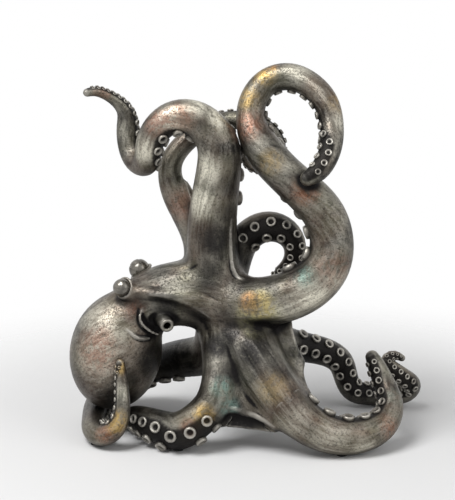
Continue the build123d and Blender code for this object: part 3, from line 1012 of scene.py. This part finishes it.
def sculpted_piece(name, clay, field, colours, lines, bed_of=None):
    """Piece skinned from a field, with the attributes that its patina reads."""
    places, faces = skin(clay, field)
    piece = mesh_piece(name, places, faces)
    places, normals = vertex_places(piece.data)
    # Glaze in creases, and painted shade in recesses, between limbs and on undersides
    add_attribute(piece.data, "hollow", hollows_and_painted_shade(clay, field, places, normals))
    add_attribute(piece.data, "bed", sucker_bed(bed_of, places) if bed_of else np.zeros(len(places)))
    ridge = smooth_step(*RIDGE_BEND, bend(clay, field, places))
    add_attribute(piece.data, "rub", np.maximum(EDGE_RUB * rubbed_edges(places), RIDGE_RUB * ridge))
    add_vectors(piece.data, "flow", flow(places, lines))
    add_tint(piece.data, places, colours)
    piece.data.set_sharp_from_angle(angle=SHARP_ANGLE)
    return piece


def place_piece(piece, nodes, material):
    """Gives a piece its material and body, and hides the nodes that it stands for."""
    piece.data.materials.clear()
    piece.data.materials.append(material)
    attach(piece, BODY)
    if nodes:
        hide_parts(*nodes)


# Suckers begin this many radii past the seam, are tried at this spacing, stand out by this share
# of their radius and stay this far above the floor
FIRST_SEAT = 2.2
SEAT_STEP = 0.4
SEAT_RISE = 0.5
SEAT_CLEARANCE = 0.2


def sucker_seats(arm, shape):
    """Places, directions and sizes of an arm's two rows of suckers."""
    seats = []
    route = arm.route
    start = arm.seam_mark + shape.sucker_share * arm.seam_radius * FIRST_SEAT
    end = route.knots[-1] - shape.sucker_share * route.points[-1, 3]
    for side in (-1, 1):
        last = np.full(3, np.inf)
        for mark in np.arange(start, end, SEAT_STEP):
            x, y, z, radius = route.at(mark)
            size = radius * shape.sucker_share
            along, way = route.along(mark), arm.facing(mark)
            lean = math.radians(side * shape.sucker_row_angle)
            out = way * math.cos(lean) + np.cross(along, way) * math.sin(lean)
            seat = np.array([x, y, z]) + out * radius
            lowest = seat[2] + min(0, out[2]) * size * SEAT_RISE - size * math.sqrt(1 - out[2] ** 2)
            apart = np.linalg.norm(seat - last) > shape.sucker_pitch * size
            if size > shape.smallest_sucker and apart and lowest > SEAT_CLEARANCE:
                seats.append((seat, out, size))
                last = seat
    return seats


# Half section of a sucker of radius one: distance from its axis, height and how rubbed it is
CUP_PROFILE = [
    (0.8, -0.55, 0.1),
    (1.0, 0.15, 0.35),
    (0.94, 0.5, 1.0),
    (0.72, 0.54, 0.95),
    (0.44, 0.08, 0.0),
]
CUP_SIDES = 12


def circle(reach, height, sides):
    """Points of a ring round the z axis."""
    turns = [2 * math.pi * number / sides for number in range(sides)]
    return [(reach * math.cos(turn), reach * math.sin(turn), height) for turn in turns]


def band(low, high, sides):
    """Quads between two rings, given the numbers of their first points."""
    steps = [(number, (number + 1) % sides) for number in range(sides)]
    return [[low + here, low + after, high + after, high + here] for here, after in steps]


def cup_object():
    """Small mesh of one sucker, removed once its copies are made."""
    points, rubs = [], []
    for reach, height, rub in CUP_PROFILE:
        points += circle(reach, height, CUP_SIDES)
        rubs += [rub] * CUP_SIDES
    top = len(points) - CUP_SIDES
    faces = [list(range(CUP_SIDES))[::-1]]
    for low in range(0, top, CUP_SIDES):
        faces += band(low, low + CUP_SIDES, CUP_SIDES)
    faces.append(list(range(top, len(points))))
    mesh = bpy.data.meshes.new("sucker_cup")
    mesh.from_pydata(points, [], faces)
    shade_smooth(mesh)
    add_attribute(mesh, "rub", rubs)
    add_attribute(mesh, "bed", 1 - np.array(rubs))
    add_attribute(mesh, "hollow", np.zeros(len(points)))
    return bpy.data.objects.new("sucker_cup", mesh)


def feed(tree, node, inputs):
    """Sets a node's inputs to values or colours, or links them to sockets."""
    for key, value in inputs.items():
        socket = node.inputs[key]
        if isinstance(value, bpy.types.NodeSocket):
            tree.links.new(value, socket)
        else:
            socket.default_value = (*value, 1) if socket.type == "RGBA" else value
    return node


def sucker_tree():
    """Geometry tree that sets a cup on each seat, turned and sized as the seat says."""
    tree = bpy.data.node_groups.new("SuckerRows", "GeometryNodeTree")
    for name, kind in (("Geometry", "Geometry"), ("Cup", "Object"), ("Material", "Material")):
        tree.interface.new_socket(name, in_out="INPUT", socket_type="NodeSocket" + kind)
    tree.interface.new_socket("Geometry", in_out="OUTPUT", socket_type="NodeSocketGeometry")
    add = tree.nodes.new
    entry, result = add("NodeGroupInput"), add("NodeGroupOutput")
    given = entry.outputs

    def read(name, kind):
        attribute = add("GeometryNodeInputNamedAttribute")
        attribute.data_type = kind
        return feed(tree, attribute, {"Name": name}).outputs["Attribute"]

    cup = feed(tree, add("GeometryNodeObjectInfo"), {"Object": given["Cup"]})
    turn = add("FunctionNodeAlignRotationToVector")
    turn.axis = "Z"
    feed(tree, turn, {"Vector": read("way", "FLOAT_VECTOR")})
    rows = {
        "Points": given["Geometry"],
        "Instance": cup.outputs["Geometry"],
        "Rotation": turn.outputs["Rotation"],
        "Scale": read("size", "FLOAT"),
    }
    copies = feed(tree, add("GeometryNodeInstanceOnPoints"), rows)
    solid = feed(tree, add("GeometryNodeRealizeInstances"), {"Geometry": copies.outputs["Instances"]})
    coat = {"Geometry": solid.outputs["Geometry"], "Material": given["Material"]}
    painted = feed(tree, add("GeometryNodeSetMaterial"), coat)
    feed(tree, result, {"Geometry": painted.outputs["Geometry"]})
    return tree


def sucker_piece(name, seats, tree, cup, material, colours):
    """Plain mesh of one arm's suckers, made by the geometry tree."""
    if not seats:
        raise RuntimeError(name + " has no room for a sucker")
    places = np.array([seat for seat, out, size in seats])
    mesh = bpy.data.meshes.new(name + "_seats")
    mesh.from_pydata((places * MM).tolist(), [], [])
    add_vectors(mesh, "way", [out for seat, out, size in seats])
    add_attribute(mesh, "size", np.array([size for seat, out, size in seats]) * MM)
    seat_object = scene_object(name + "_seats", mesh)
    rows = seat_object.modifiers.new("rows", "NODES")
    rows.node_group = tree
    inputs = [item for item in tree.interface.items_tree if item.in_out == "INPUT"]
    sockets = {item.name: item.identifier for item in inputs}
    rows[sockets["Cup"]] = cup
    rows[sockets["Material"]] = material
    bpy.context.view_layer.update()
    graph = bpy.context.evaluated_depsgraph_get()
    made = bpy.data.meshes.new_from_object(seat_object.evaluated_get(graph))
    bpy.data.objects.remove(seat_object)
    made.name = name
    add_tint(made, vertex_places(made)[0], colours)
    return scene_object(name, made)


def turned(axis):
    """Turn that takes the z axis to another."""
    return Vector((0, 0, 1)).rotation_difference(Vector(axis)).to_matrix()


# Points round a rim and round its section, and how rubbed it is
RIM_SIDES = 36
RIM_ROUNDS = 12
RIM_RUB = 0.45


def ring_piece(name, centre, axis, radius, thickness, colours):
    """Rounded rim, such as an eyelid or the siphon's mouth."""
    points, faces = [], []
    for reach, height, _ in circle(thickness, 0, RIM_ROUNDS):
        low = len(points)
        points += circle(radius + reach, height, RIM_SIDES)
        faces += band(low, (low + RIM_SIDES) % (RIM_ROUNDS * RIM_SIDES), RIM_SIDES)
    turn = turned(axis)
    places = np.array([turn @ Vector(point) + Vector(centre) for point in points])
    piece = mesh_piece(name, places, np.array(faces))
    for attribute, value in (("hollow", 0), ("bed", 0), ("rub", RIM_RUB)):
        add_attribute(piece.data, attribute, np.full(len(places), value))
    add_tint(piece.data, places, colours)
    return piece


# Points round a bead and from pole to pole, and the ring in it: depth in radii, angle and width
BEAD_SIDES = 40
BEAD_RINGS = 26
PUPIL_RING = (0.05, 0.62, 0.09)


def eye_piece(name, centre, radius, axis):
    """Polished bead with a faint ring turned in it round the pupil."""
    depth, angle, width = PUPIL_RING
    points = [(0, 0, -radius)]
    faces = []
    for ring in range(1, BEAD_RINGS):
        polar = math.pi * ring / BEAD_RINGS
        reach = radius - depth * radius * math.exp(-(((math.pi - polar - angle) / width) ** 2))
        top = len(points)
        points += circle(reach * math.sin(polar), -reach * math.cos(polar), BEAD_SIDES)
        if ring > 1:
            faces += band(top - BEAD_SIDES, top, BEAD_SIDES)
    points.append((0, 0, radius))
    for number in range(BEAD_SIDES):
        after = (number + 1) % BEAD_SIDES
        faces.append([0, 1 + after, 1 + number])
        faces.append([top + number, top + after, len(points) - 1])
    mesh = bpy.data.meshes.new(name)
    mesh.from_pydata([tuple(value * MM for value in point) for point in points], [], faces)
    mesh.transform(Matrix.Translation(Vector(centre) * MM) @ turned(axis).to_4x4())
    shade_smooth(mesh)
    return scene_object(name, mesh)


def new_group(name, inputs, outputs):
    """Empty shader group with named sockets."""
    group = bpy.data.node_groups.new(name, "ShaderNodeTree")
    kinds = {"value": "NodeSocketFloat", "colour": "NodeSocketColor", "vector": "NodeSocketVector"}
    for side, sockets in (("INPUT", inputs), ("OUTPUT", outputs)):
        for label, kind in sockets:
            group.interface.new_socket(label, in_out=side, socket_type=kinds[kind])
    return group, group.nodes.new("NodeGroupInput"), group.nodes.new("NodeGroupOutput")


def noise(group, scale, detail, roughness=0.55, place=None):
    """Noise over the object's own coordinates, or over others given."""
    if place is None:
        place = group.nodes.new("ShaderNodeTexCoord").outputs["Object"]
    inputs = {"Scale": scale, "Detail": detail, "Roughness": roughness, "Vector": place}
    return feed(group, group.nodes.new("ShaderNodeTexNoise"), inputs).outputs["Fac"]


def ramp(group, source, low, high):
    """Value stretched so that low is 0 and high is 1."""
    node = group.nodes.new("ShaderNodeMapRange")
    node.interpolation_type = "SMOOTHSTEP"
    inputs = {"Value": source, "From Min": low, "From Max": high}
    return feed(group, node, inputs).outputs["Result"]


def maths(group, kind, first, second):
    """Arithmetic on two values, each a socket or a number."""
    node = group.nodes.new("ShaderNodeMath")
    node.operation = kind
    node.use_clamp = kind != "SUBTRACT"
    return feed(group, node, {0: first, 1: second}).outputs["Value"]


def mixed(group, share, first, second):
    """Colour between two colours, each a socket or red, green and blue."""
    node = group.nodes.new("ShaderNodeMix")
    node.data_type = "RGBA"
    colours = [number for number, socket in enumerate(node.inputs) if socket.type == "RGBA"]
    feed(group, node, {"Factor": share, **dict(zip(colours, (first, second)))})
    return [socket for socket in node.outputs if socket.type == "RGBA"][0]


# Noises of the patina: scale, detail, roughness and the values that become 0 and 1
PATINA_NOISES = {
    "blotch": (70, 6, 0.62, 0.36, 0.64),
    "cloud": (24, 3, 0.55, 0.42, 0.6),
    "drift": (41, 3, 0.55, 0.45, 0.62),
    "fret": (260, 7, 0.74, 0.4, 0.58),
    "stipple": (1500, 3, 0.7, 0.36, 0.64),
    "pits": (760, 3, 0.65, 0.34, 0.5),
    "streak": (420, 5, 0.68, 0.38, 0.64),
}
# How strongly the layers of the patina cover what lies under them
CLOUD_COVER = 0.5
DRIFT_COVER = 0.45
GLINT_COVER = 0.22
BED_COVER = 0.94
PIT_COVER = 0.5
# How much of a layer shows even where its grain is faint
BRUSH_BASE = 0.35
SOOT_AND_SHADE_BASE = 0.75
# The sooty layer carries painted shade as well as dark patina
SILVER_AND_HIGHLIGHT_BASE = 0.38
# The silvery layer carries painted highlight as well as rubbed patina
TINT_BASE = 0.25
STREAK_BASE = 0.6
RUB_BASE = 0.45
# Hollow at which the glaze, with its painted shade, starts and is full
GLAZE_RANGE = (0.08, 0.7)
# What the dark parts and the streaks add to the roughness, and the pits and brushing to the relief
DARK_ROUGHNESS = 0.2
STREAK_ROUGHNESS = 0.1
PIT_RELIEF = 0.6
BRUSH_RELIEF = 0.4


def patina_group(finish):
    """Antiqued metal: brushed ridges, dark wash in creases, patches of colour and fine speckle, with
    painted shade in recesses, on undersides and in the sooty patches, and painted highlight in the
    silvery patches.
    """
    group, entry, result = new_group(
        "AntiquedPatina",
        [
            ("Hollow", "value"),
            ("Bed", "value"),
            ("Rub", "value"),
            ("Soot", "value"),
            ("Silver", "value"),
            ("Tint", "colour"),
            ("Tint Amount", "value"),
            ("Flow", "vector"),
        ],
        [("Color", "colour"), ("Roughness", "value"), ("Height", "value")],
    )
    given = entry.outputs

    def patina_noise(name, place=None):
        scale, detail, roughness, low, high = PATINA_NOISES[name]
        return ramp(group, noise(group, scale, detail, roughness, place), low, high)

    def plus(first, second):
        return maths(group, "ADD", first, second)

    def times(first, second):
        return maths(group, "MULTIPLY", first, second)

    def rest(value):
        return maths(group, "SUBTRACT", 1.0, value)

    blotch, fret, pits = patina_noise("blotch"), patina_noise("fret"), patina_noise("pits")
    streak = patina_noise("streak", given["Flow"])
    brush = times(streak, plus(patina_noise("stipple"), BRUSH_BASE))
    worn = times(plus(fret, TINT_BASE), plus(streak, STREAK_BASE))
    # Glaze in the creases, with painted shade in recesses and on undersides
    glazed_and_shaded = ramp(group, given["Hollow"], *GLAZE_RANGE)
    dark = maths(group, "MAXIMUM", glazed_and_shaded, times(given["Bed"], BED_COVER))
    dark = maths(group, "MAXIMUM", dark, times(rest(pits), PIT_COVER))

    # Each coat lies over those before it
    colour = mixed(group, blotch, finish.dark_metal, finish.mid_metal)
    for share, coat in (
        (times(patina_noise("cloud"), CLOUD_COVER), finish.brown_metal),
        (times(patina_noise("drift"), DRIFT_COVER), finish.olive_metal),
        # Sooty patches lay dark patina and painted shade, silvery patches rubbed patina and painted
        # highlight
        (times(given["Soot"], plus(fret, SOOT_AND_SHADE_BASE)), finish.soot),
        (times(given["Silver"], plus(brush, SILVER_AND_HIGHLIGHT_BASE)), finish.silver),
        (times(given["Tint Amount"], worn), given["Tint"]),
        (times(times(brush, GLINT_COVER), rest(given["Soot"])), finish.worn_metal),
        # Dark wash in creases, sucker beds and pits, and painted shade in recesses and on undersides
        (dark, finish.glaze_and_painted_shade),
        (times(given["Rub"], plus(blotch, RUB_BASE)), finish.rim_metal),
    ):
        colour = mixed(group, share, colour, coat)

    rough = plus(times(dark, DARK_ROUGHNESS), times(streak, STREAK_ROUGHNESS))
    rough = plus(rough, finish.roughness)
    height = plus(times(pits, PIT_RELIEF), times(brush, BRUSH_RELIEF))
    feed(group, result, {"Color": colour, "Roughness": rough, "Height": height})
    return group


def new_material(name):
    """Material with its node tree and main shader."""
    material = bpy.data.materials.new(name)
    material.use_nodes = True
    return material, material.node_tree, material.node_tree.nodes["Principled BSDF"]


# Depths of the bumps in a surface, in metres
PATINA_DEPTH = 0.0004
GRAIN_DEPTH = 0.0002


def add_bump(tree, shader, height, strength, depth):
    """Fine relief in the light on a surface."""
    inputs = {"Strength": strength, "Distance": depth, "Height": height}
    bump = feed(tree, tree.nodes.new("ShaderNodeBump"), inputs)
    feed(tree, shader, {"Normal": bump.outputs["Normal"]})


def patina_material(finish):
    """Antiqued cold-cast metal that reads the pieces' own attributes, painted shade and painted
    highlight among them.
    """
    material, tree, shader = new_material("antiqued_metal")
    group = tree.nodes.new("ShaderNodeGroup")
    group.node_tree = patina_group(finish)
    for socket in ("Hollow", "Bed", "Rub", "Soot", "Silver", "Tint", "Flow"):
        node = tree.nodes.new("ShaderNodeAttribute")
        node.attribute_name = socket.lower()
        output = {"Tint": "Color", "Flow": "Vector"}.get(socket, "Fac")
        feed(tree, group, {socket: node.outputs[output]})
        if socket == "Tint":
            feed(tree, group, {"Tint Amount": node.outputs["Alpha"]})
    made = group.outputs
    add_bump(tree, shader, made["Height"], finish.grain, PATINA_DEPTH)
    feed(tree, shader, {"Base Color": made["Color"], "Roughness": made["Roughness"]})
    feed(tree, shader, {"Metallic": finish.metallic})
    return material


# Plain materials: metallic, roughness, scale and strength of the grain
PLAIN_FINISHES = {
    "polished_bead": (0.85, 0.24, 900, 0.05),
    "turned_steel": (1, 0.35, 1500, 0.1),
    "pressed_felt": (0, 0.95, 2600, 0.8),
}
# Share of its colour that a stained spot keeps, the stains' size in grains and their range
STAIN = 0.55
STAIN_SIZE = 5
STAIN_RANGE = (0.35, 0.65)
STAIN_DETAIL = 4
GRAIN_DETAIL = 2


def plain_material(name, colour):
    """One colour, stained here and there, with a fine grain in its surface."""
    metallic, roughness, grain_scale, grain = PLAIN_FINISHES[name]
    material, tree, shader = new_material(name)
    stain = ramp(tree, noise(tree, grain_scale / STAIN_SIZE, STAIN_DETAIL), *STAIN_RANGE)
    shade = mixed(tree, stain, [STAIN * part for part in colour], colour)
    feed(tree, shader, {"Base Color": shade, "Metallic": metallic, "Roughness": roughness})
    add_bump(tree, shader, noise(tree, grain_scale, GRAIN_DETAIL), grain, GRAIN_DEPTH)
    return material


def number_property(label, description, value, **kind):
    """Number among the settings."""
    return bpy.props.FloatProperty(name=label, description=description, default=value, **kind)


class OctopusShape(bpy.types.PropertyGroup):
    """Sizes of the sculpted pieces, in millimetres."""

    step: number_property("Arm clay", "Spacing of the arms' sculpted points, mm", 0.75)
    body_step: number_property("Body clay", "Spacing of the body's points, mm", 0.85)
    softness: number_property("Softness", "How widely the limbs run together, mm", 2.4)
    sucker_share: number_property("Sucker size", "Share of the arm's radius", 0.34)
    sucker_pitch: number_property("Sucker pitch", "Spacing in sucker radii", 3.1)
    sucker_row_angle: number_property("Row angle", "Lean of each row, degrees", 29)
    smallest_sucker: number_property("Smallest sucker", "Least radius, mm", 0.7)


def colour_property(label, description, value):
    """Colour setting of the finish."""
    return bpy.props.FloatVectorProperty(
        name=label, description=description, subtype="COLOR", size=3, min=0, max=1, default=value
    )


class OctopusFinish(bpy.types.PropertyGroup):
    """Colours and sheen of the antiqued metal."""

    dark_metal: colour_property("Dark metal", "Dull gunmetal", (0.022, 0.021, 0.019))
    mid_metal: colour_property("Mid metal", "Pewter of the open surfaces", (0.2, 0.187, 0.155))
    brown_metal: colour_property("Brown metal", "Warm bronze clouds", (0.12, 0.075, 0.05))
    olive_metal: colour_property("Olive metal", "Greenish clouds", (0.13, 0.125, 0.085))
    worn_metal: colour_property("Worn metal", "Bright specks", (0.6, 0.57, 0.5))
    rim_metal: colour_property("Rim metal", "Rubbed sucker rims", (0.4, 0.38, 0.34))
    # Dark wash in the creases, also laid as painted shade in recesses and on undersides
    glaze_and_painted_shade: colour_property("Glaze_and_painted_shade", "Dark wash in the creases", (0.009, 0.008, 0.008))
    copper: colour_property("Copper", "Copper patches", (0.27, 0.125, 0.08))
    rust: colour_property("Rust", "Rust patches", (0.27, 0.08, 0.022))
    gold: colour_property("Gold", "Gilded patches", (0.5, 0.32, 0.08))
    olive: colour_property("Olive", "Greenish gold patches", (0.42, 0.39, 0.19))
    # Dark patina, also used as painted shade
    soot: colour_property("Soot", "Dark patches", (0.016, 0.015, 0.015))
    # Rubbed patina, also used as painted highlight
    silver: colour_property("Silver", "Rubbed patches", (0.86, 0.82, 0.68))
    verdigris: colour_property("Verdigris", "Green patches", (0.12, 0.22, 0.19))
    eye: colour_property("Eye", "Polished eye beads", (0.22, 0.205, 0.18))
    steel: colour_property("Steel", "Dowels in the seams", (0.55, 0.55, 0.56))
    felt: colour_property("Felt", "Pads under the arms", (0.02, 0.02, 0.022))
    roughness: number_property("Roughness", "Of rubbed metal", 0.3)
    metallic: number_property("Metallic", "Share of bare metal", 0.85)
    grain: number_property("Grain", "Strength of the fine pitting", 0.35)


class OctopusStage(bpy.types.PropertyGroup):
    """Camera and light."""

    distance: number_property("Distance", "Camera distance", 0.9, unit="LENGTH")
    elevation: number_property("Elevation", "Camera height angle", math.radians(13), subtype="ANGLE")
    lens: number_property("Lens", "Focal length, mm", 108)
    key: number_property("Key", "Watts of the key light", 12)
    fill: number_property("Fill", "Watts of the fill light", 2)
    sky: number_property("Sky", "Strength of the room's light", 0.3)


def tints(finish):
    """Patch colours by name."""
    return {name: tuple(getattr(finish, name)) for name in TINTS}


def antiqued_metal(finish):
    """Metal of the castings, made at its first use."""
    return bpy.data.materials.get("antiqued_metal") or patina_material(finish)


def clay_step(spacing):
    return spacing * 1


class OCTOPUS_OT_body(bpy.types.Operator):
    """Sculpts the mantle, head and crown as one casting"""

    bl_idname = "octopus.body"
    bl_label = "Body casting"

    def execute(self, context):
        shape, finish = context.scene.octopus_shape, context.scene.octopus_finish
        arms = [Arm(name) for name in ARMS]
        clay = Clay(*BODY_BOX, clay_step(shape.body_step))
        field = sculpt_body(clay, arms, shape.softness)
        piece = sculpted_piece("body", clay, field, tints(finish), flow_lines(arms))
        place_piece(piece, ("body_casting", "mantle_casting"), antiqued_metal(finish))
        return {"FINISHED"}


class OCTOPUS_OT_arms(bpy.types.Operator):
    """Sculpts the eight arms from their seams to their tips"""

    bl_idname = "octopus.arms"
    bl_label = "Arms"

    def execute(self, context):
        shape, finish = context.scene.octopus_shape, context.scene.octopus_finish
        arms = [Arm(name) for name in ARMS]
        for arm in arms:
            line = arm.part(-ROOT_OVERRUN, math.inf)
            room = line[:, 3:].max() + ARM_MARGIN
            clay = Clay(line[:, :3].min(0) - room, line[:, :3].max(0) + room, clay_step(shape.step))
            field = sculpt_arm(clay, arm, arms, shape.softness)
            name = arm.name + "_skin"
            piece = sculpted_piece(name, clay, field, tints(finish), flow_lines([arm]), arm)
            place_piece(piece, (arm.name,), antiqued_metal(finish))
        return {"FINISHED"}


class OCTOPUS_OT_suckers(bpy.types.Operator):
    """Sets two rows of suckers along every arm"""

    bl_idname = "octopus.suckers"
    bl_label = "Suckers"

    def execute(self, context):
        shape, finish = context.scene.octopus_shape, context.scene.octopus_finish
        material = antiqued_metal(finish)
        cup = cup_object()
        tree = sucker_tree()
        for name in ARMS:
            seats = sucker_seats(Arm(name), shape)
            piece = sucker_piece(name + "_suckers", seats, tree, cup, material, tints(finish))
            place_piece(piece, (), material)
        bpy.data.objects.remove(cup)
        return {"FINISHED"}


class OCTOPUS_OT_eyes(bpy.types.Operator):
    """Turns the two bead eyes, their lids and the siphon's mouth"""

    bl_idname = "octopus.eyes"
    bl_label = "Eyes and siphon rim"

    def execute(self, context):
        finish = context.scene.octopus_finish
        material = plain_material("polished_bead", finish.eye)
        past, *section = SIPHON_RIM
        rims = [("siphon_rim", SIPHON[-1][:3] + np.array(SIPHON_AXIS) * past, SIPHON_AXIS, *section)]
        for node, (centre, radius, axis) in EYES.items():
            piece = eye_piece(node + "_bead", centre, radius, axis)
            place_piece(piece, (node,), material)
            lid = np.array(centre, float) - unit(axis) * LID_SINK
            reach = math.sqrt(radius**2 - LID_SINK**2) + LID_GAP
            rims.append((node + "_lid", lid, axis, reach, LID_THICKNESS))
        for rim in rims:
            place_piece(ring_piece(*rim, tints(finish)), (), antiqued_metal(finish))
        return {"FINISHED"}


class OCTOPUS_OT_fittings(bpy.types.Operator):
    """Finishes the dowels in the seams and the felt under the arms"""

    bl_idname = "octopus.fittings"
    bl_label = "Dowels and felt"

    def execute(self, context):
        finish = context.scene.octopus_finish
        steel = plain_material("turned_steel", finish.steel)
        felt = plain_material("pressed_felt", finish.felt)
        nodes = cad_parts.items()
        fittings = {name: node for name, node in nodes if "dowel" in name or "_pad_" in name}
        if not fittings:
            raise RuntimeError("the frame has no dowels or pads")
        for name, node in fittings.items():
            node.data.materials.clear()
            node.data.materials.append(steel if "dowel" in name else felt)
        return {"FINISHED"}


# Stage, in metres: what the camera looks at and the nearest that it sees, each light's size and
# offset from there, and the floor
AIM = Vector((-14.3, 0, 114)) * MM
NEAREST_SEEN = 0.01
LIGHTS = {"key": (0.6, (-0.5, -0.45, 1.0)), "fill": (0.7, (0.75, -0.5, 0.45))}
FLOOR_HALF = 6
FLOOR_CORNERS = ((-1, -1), (1, -1), (1, 1), (-1, 1))
FLOOR_COLOUR = (0.86, 0.86, 0.86)
FLOOR_ROUGHNESS = 0.9
# Distances at which the floor is no longer seen and is still seen in full
FLOOR_FADE = (0.34, 0.13)
WHITE = (1, 1, 1)


class OCTOPUS_OT_stage(bpy.types.Operator):
    """Sets the floor, light and camera"""

    bl_idname = "octopus.stage"
    bl_label = "Stage"

    def execute(self, context):
        stage = context.scene.octopus_stage
        self.floor()
        for name, (size, offset) in LIGHTS.items():
            lamp = bpy.data.lights.new(name, "AREA")
            lamp.energy = getattr(stage, name)
            lamp.size = size
            self.aimed(scene_object(name, lamp), Vector(offset))
        self.world(context.scene, stage.sky)
        camera = scene_object("camera", bpy.data.cameras.new("camera"))
        camera.data.lens = stage.lens
        camera.data.clip_start = NEAREST_SEEN
        back = Vector((0, -math.cos(stage.elevation), math.sin(stage.elevation)))
        self.aimed(camera, back * stage.distance)
        context.scene.camera = camera
        context.scene.view_settings.view_transform = "Standard"
        return {"FINISHED"}

    def floor(self):
        """Plain pale floor under the ornament."""
        mesh = bpy.data.meshes.new("floor")
        corners = [(x * FLOOR_HALF, y * FLOOR_HALF, 0) for x, y in FLOOR_CORNERS]
        mesh.from_pydata(corners, [], [(0, 1, 2, 3)])
        floor = scene_object("floor", mesh)
        material, tree, shader = new_material("floor")
        place, length = tree.nodes.new("ShaderNodeTexCoord"), tree.nodes.new("ShaderNodeVectorMath")
        length.operation = "LENGTH"
        feed(tree, length, {0: place.outputs["Object"]})
        path = tree.nodes.new("ShaderNodeLightPath")
        unseen = maths(tree, "SUBTRACT", 1.0, path.outputs["Is Camera Ray"])
        shown = maths(tree, "MAXIMUM", ramp(tree, length.outputs["Value"], *FLOOR_FADE), unseen)
        look = {"Base Color": FLOOR_COLOUR, "Roughness": FLOOR_ROUGHNESS, "Alpha": shown}
        feed(tree, shader, look)
        mesh.materials.append(material)

    def aimed(self, thing, offset):
        """Sets a light or camera at an offset from the aim, turned to it."""
        thing.location = AIM + offset
        thing.rotation_euler = (-offset).to_track_quat("-Z", "Y").to_euler()

    def world(self, scene, strength):
        """Even room light, with a white backdrop for the camera and in reflections."""
        world = bpy.data.worlds.new("room")
        world.use_nodes = True
        scene.world = world
        tree = world.node_tree
        room = feed(tree, tree.nodes["Background"], {"Color": WHITE, "Strength": strength})
        backdrop = feed(tree, tree.nodes.new("ShaderNodeBackground"), {"Color": WHITE})
        lights = (room.outputs["Background"], backdrop.outputs["Background"])
        path, mix = tree.nodes.new("ShaderNodeLightPath"), tree.nodes.new("ShaderNodeMixShader")
        seen = maths(tree, "MAXIMUM", path.outputs["Is Camera Ray"], path.outputs["Is Glossy Ray"])
        seen = maths(tree, "MAXIMUM", seen, path.outputs["Is Transmission Ray"])
        feed(tree, mix, dict(enumerate((seen, *lights))))
        feed(tree, tree.nodes["World Output"], {"Surface": mix.outputs["Shader"]})


class OCTOPUS_PT_panel(bpy.types.Panel):
    """Lists the steps that build the ornament"""

    bl_label = "Octopus ornament"
    bl_idname = "OCTOPUS_PT_panel"
    bl_space_type = "VIEW_3D"
    bl_region_type = "UI"
    bl_category = "Octopus"

    def draw(self, context):
        for operator in OPERATORS:
            self.layout.operator(operator.bl_idname)


OPERATORS = (
    OCTOPUS_OT_body,
    OCTOPUS_OT_arms,
    OCTOPUS_OT_suckers,
    OCTOPUS_OT_eyes,
    OCTOPUS_OT_fittings,
    OCTOPUS_OT_stage,
)
SETTINGS = {
    "octopus_shape": OctopusShape,
    "octopus_finish": OctopusFinish,
    "octopus_stage": OctopusStage,
}
CLASSES = (*SETTINGS.values(), *OPERATORS, OCTOPUS_PT_panel)


def register():
    """Adds the classes and their settings."""
    for kind in CLASSES:
        bpy.utils.register_class(kind)
    for name, kind in SETTINGS.items():
        setattr(bpy.types.Scene, name, bpy.props.PointerProperty(type=kind))


def unregister():
    """Removes the classes and their settings."""
    for name in SETTINGS:
        delattr(bpy.types.Scene, name)
    for kind in reversed(CLASSES):
        bpy.utils.unregister_class(kind)


def main():
    """Builds the ornament."""
    register()
    bpy.ops.octopus.body()
    bpy.ops.octopus.arms()
    bpy.ops.octopus.suckers()
    bpy.ops.octopus.eyes()
    bpy.ops.octopus.fittings()
    bpy.ops.octopus.stage()


if __name__ == "__main__":
    main()
